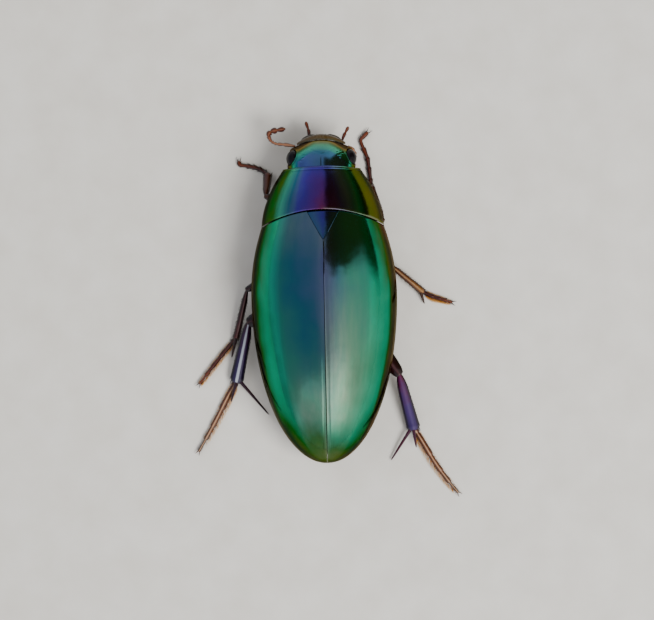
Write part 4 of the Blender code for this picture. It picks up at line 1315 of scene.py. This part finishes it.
def make_chin():
    """The lower lip: a broad flat tongue with two short feelers."""
    route = curve_through([(0.0, 15.1, 2.85), (0.0, 15.6, 3.0), (0.0, 16.5, 3.1), (0.0, 17.1, 3.15)], 40)
    size = swelling(40, [0.0, 0.25, 0.7, 1.0], [0.68, 0.95, 0.78, 0.45])
    shapes = [tube(route, size, 0.24, 28, ridge=0.05)]
    for side in (-1.0, 1.0):
        bends = [(side * x, y, z) for x, y, z in ((0.4, 16.9, 3.05), (0.6, 17.5, 2.95), (0.5, 17.95, 2.85))]
        shapes.append(tube(curve_through(bends, 18), 0.12, 0.12, 12, 0.8, 1.0))
    put("labium", together(shapes), black_horn, ("labium",))


make_lip()
make_jaw("left", -1.0)
make_jaw("right", 1.0)
make_chin()

# %% [markdown]
# ## The swimming hairs
#
# The middle and hind feet are oars: a fringe of long golden hairs stands along the inner edge of each, and a
# shorter one along the outer edge. A particle system would draw them as strands, but this model is also used
# as a solid mesh, so each hair is a thin four-sided cone, and a fringe is one mesh. Each hair also has a
# small patch on a map, at its root's place, so that its colour can be kept in an image later.

# %% The fringes
HAIR_ROWS = 4
FRINGE_ROUTE = 186  # points of the foot's route, up to the claws


def hair_finish():
    """Golden hair, darker at the root."""
    material, tree, shader = new_finish("hair", 0.35, specular=0.4)
    drift = math_node(tree, "MULTIPLY", noise(tree, 0.4), 0.35)
    place = math_node(tree, "ADD", carried(tree, "mark"), drift)
    golds = [(0.1, rgb(92, 48, 18)), (0.45, rgb(168, 110, 44)), (1.0, rgb(214, 168, 92))]
    connect(tree, shader, ramp(tree, place, golds))
    return material


def fringe(route, wide, side, count, length, seed, row):
    """Hairs along one edge of a limb, all swept towards its end. Returns a shape and its map."""
    random = np.random.default_rng(seed)
    place = np.linspace(0.04, 0.93, count) + random.uniform(-0.01, 0.01, count)
    root, along, aside, above = on_edge(route, wide, place, side, 0.8)
    root = root + above * random.uniform(-0.08, 0.1, (count, 1))
    envelope = np.sin(np.pi * np.clip(place * 0.86 + 0.12, 0.0, 1.0))[:, None] ** 0.5
    reach = length * envelope * random.uniform(0.8, 1.1, (count, 1))
    way = along * random.uniform(0.75, 1.0, (count, 1)) + side * aside * 0.5
    way = way + above * random.uniform(-0.12, 0.1, (count, 1))
    shape = cones(root, root + reach * way, 0.018, bend=side * aside * reach * 0.1, rows=HAIR_ROWS)
    points_each = HAIR_ROWS * CONE_SIDES
    patch = np.stack([np.repeat(place, points_each), np.full(count * points_each, row)], axis=-1)
    spread = np.stack([shape[2][:, 0], np.tile([0.0, 0.3, 0.6, 1.0], count * HAIR_ROWS)], axis=-1)
    return shape, patch + 0.003 * spread


def make_fringe(number, leg):
    """The two fringes of one swimming foot, as one mesh."""
    pair, foot = leg.split("_")[0], LEGS[leg][3]
    route = curve_through([(x, y, 0.27) for x, y in foot], 200)[:FRINGE_ROUTE]
    aside = frame_along(route)[1][:, 0].mean()
    inward = math.copysign(1.0, -aside * foot[0][0])
    wide = TARSUS[pair] * np.linspace(1.0, 0.6, FRINGE_ROUTE)
    length = 0.95 if pair == "hind" else 0.7
    first = fringe(route, wide, inward, 130, length, number, 0.1 + 0.2 * number)
    second = fringe(route, wide, -inward, 60, 0.4 * length, number + 9, 0.17 + 0.2 * number)
    put(leg + "_fringe", together([first[0], second[0]]), hair,
        bake_map=np.concatenate([first[1], second[1]]))


hair = hair_finish()
for number, leg in enumerate(("mid_left", "mid_right", "hind_left", "hind_right")):
    make_fringe(number, leg)

# %% [markdown]
# ## Camera, floor and light
#
# The beetle is seen from straight above, with its head at the top of the picture. The floor is plain and
# pale. The shell is a mirror, so the light is chosen by what the shell should show: a bright tent all round
# with one dark side, at the front right, whose reflection darkens the right half of the shield. Two soft
# lamps shape the shadows.

# %% The camera
scene = bpy.context.scene
camera_data = bpy.data.cameras.new("camera")
camera_data.sensor_width = 36.0
camera_data.lens = 249.6
camera_data.clip_start = 0.01
camera = bpy.data.objects.new("camera", camera_data)
camera.location = (0.000276, -0.001239, 0.5)
camera.rotation_euler = (0.0, 0.0, math.radians(-1.13))
scene.collection.objects.link(camera)
scene.camera = camera
print("camera height in mm:", round(camera.location.z / MM))

# %% The floor
FLOOR_REACH = 0.6
FLOOR_Z = -0.00002  # a hair below the beetle, so that no two faces lie in one plane
floor_mesh = bpy.data.meshes.new("floor")
floor_turns = ((-1, -1), (1, -1), (1, 1), (-1, 1))
floor_corners = [(x * FLOOR_REACH, y * FLOOR_REACH, FLOOR_Z) for x, y in floor_turns]
floor_mesh.from_pydata(floor_corners, [], [(0, 1, 2, 3)])
floor = bpy.data.objects.new("floor", floor_mesh)
scene.collection.objects.link(floor)
floor_finish, tree, shader = new_finish("floor", 0.85)
connect(tree, shader, ramp(tree, noise(tree, 4.0), [(0.3, rgb(204, 200, 192)), (0.7, rgb(212, 209, 202))]))
floor_mesh.materials.append(floor_finish)
print("floor width in m:", 2 * FLOOR_REACH)

# %% The light tent
def light_tent():
    """A bright sky with one dark side, as sums and products of soft steps in two angles.

    turn is the angle round the beetle, 0 at the head and positive to the right. from_top is the angle from
    straight up. Each soft step goes from one strength to another while an angle goes from low to high."""
    world = bpy.data.worlds.new("tent")
    scene.world = world
    world.use_nodes = True
    tree = world.node_tree
    background = tree.nodes["Background"]

    def step(value, low, high, start=0.0, end=1.0):
        """A smooth change from start to end while the value goes from low to high."""
        settings = {"interpolation_type": "SMOOTHSTEP"}
        item = add(tree, "ShaderNodeMapRange", settings, Value=value, i1=low, i2=high, i3=start, i4=end)
        return item.outputs[0]

    def times(first, second):
        """Product of two values."""
        return math_node(tree, "MULTIPLY", first, second)

    def plus(first, second):
        """Sum of two values."""
        return math_node(tree, "ADD", first, second)

    way = add(tree, "ShaderNodeTexCoord").outputs["Generated"]
    x, y, z = add(tree, "ShaderNodeSeparateXYZ", Vector=way).outputs
    turn = math_node(tree, "ARCTAN2", x, y)
    off_head = math_node(tree, "ABSOLUTE", turn)
    from_top = math_node(tree, "ARCCOSINE", z)

    drawn_in = plus(turn, step(from_top, 0.3, 0.5, 0.2, 0.0))
    drawn_in = math_node(tree, "SUBTRACT", drawn_in, step(from_top, 1.0, 1.5, 0.0, 0.2))
    sector = times(step(turn, 0.02, 0.12), step(drawn_in, 1.18, 1.42, 1.0, 0.0))
    reach = math_node(tree, "SUBTRACT", from_top, times(step(turn, 0.25, 1.0), 1.2))
    dark = times(times(sector, step(from_top, 0.15, 0.21)), step(reach, 0.98, 1.08, 1.0, 0.0))

    left_to_right = step(x, -0.03, 0.3, 0.46, 0.85)
    ahead = times(step(off_head, 0.5, 1.0, 1.0, 0.0), step(from_top, 0.8, 1.1, 0.0, 0.28))
    ring = times(step(from_top, 0.2, 0.7), step(from_top, 0.9, 1.4, 1.0, 0.0))
    behind_right = times(step(turn, 1.9, 2.7, 0.0, 1.1), ring)
    low_behind = times(step(off_head, 2.4, 3.0), step(from_top, 0.9, 1.4, 0.0, 0.3))
    low_left = times(step(from_top, 1.1, 1.5, 0.0, 0.3), step(x, -0.3, 0.3, 1.0, 0.0))
    behind_left = times(step(y, -0.5, -0.38, 0.32, 0.0), step(turn, -2.35, -2.15, 1.0, 0.0))
    right_side = times(step(turn, 1.3, 1.7), step(turn, 2.3, 2.7, 1.0, 0.0))
    low_right = times(right_side, step(from_top, 1.0, 1.35, 0.0, 0.35))
    bright = plus(plus(left_to_right, ahead), behind_right)
    bright = plus(bright, plus(low_behind, low_left))
    bright = plus(bright, plus(behind_left, low_right))

    sky = ramp(tree, step(x, -0.7, 0.7), [(0.0, rgb(236, 240, 255)), (1.0, rgb(255, 252, 244))])
    tree.links.new(blend(tree, dark, sky, rgb(98, 88, 44)), background.inputs["Color"])
    tree.links.new(bright, background.inputs["Strength"])


light_tent()

# %% The lamps
def soft_lamp(name, place, size, power):
    """A square lamp that faces the beetle and isn't mirrored in its shell."""
    data = bpy.data.lights.new(name, "AREA")
    data.energy = power
    data.size = size
    lamp = bpy.data.objects.new(name, data)
    lamp.location = place
    lamp.rotation_euler = (-lamp.location).to_track_quat("-Z", "Y").to_euler()
    lamp.visible_glossy = False
    scene.collection.objects.link(lamp)
    print("lamp", name, "of", power, "W")


soft_lamp("key", (0.2, -0.14, 0.34), 0.2, 2.3)
soft_lamp("fill", (-0.25, 0.16, 0.3), 0.3, 0.5)
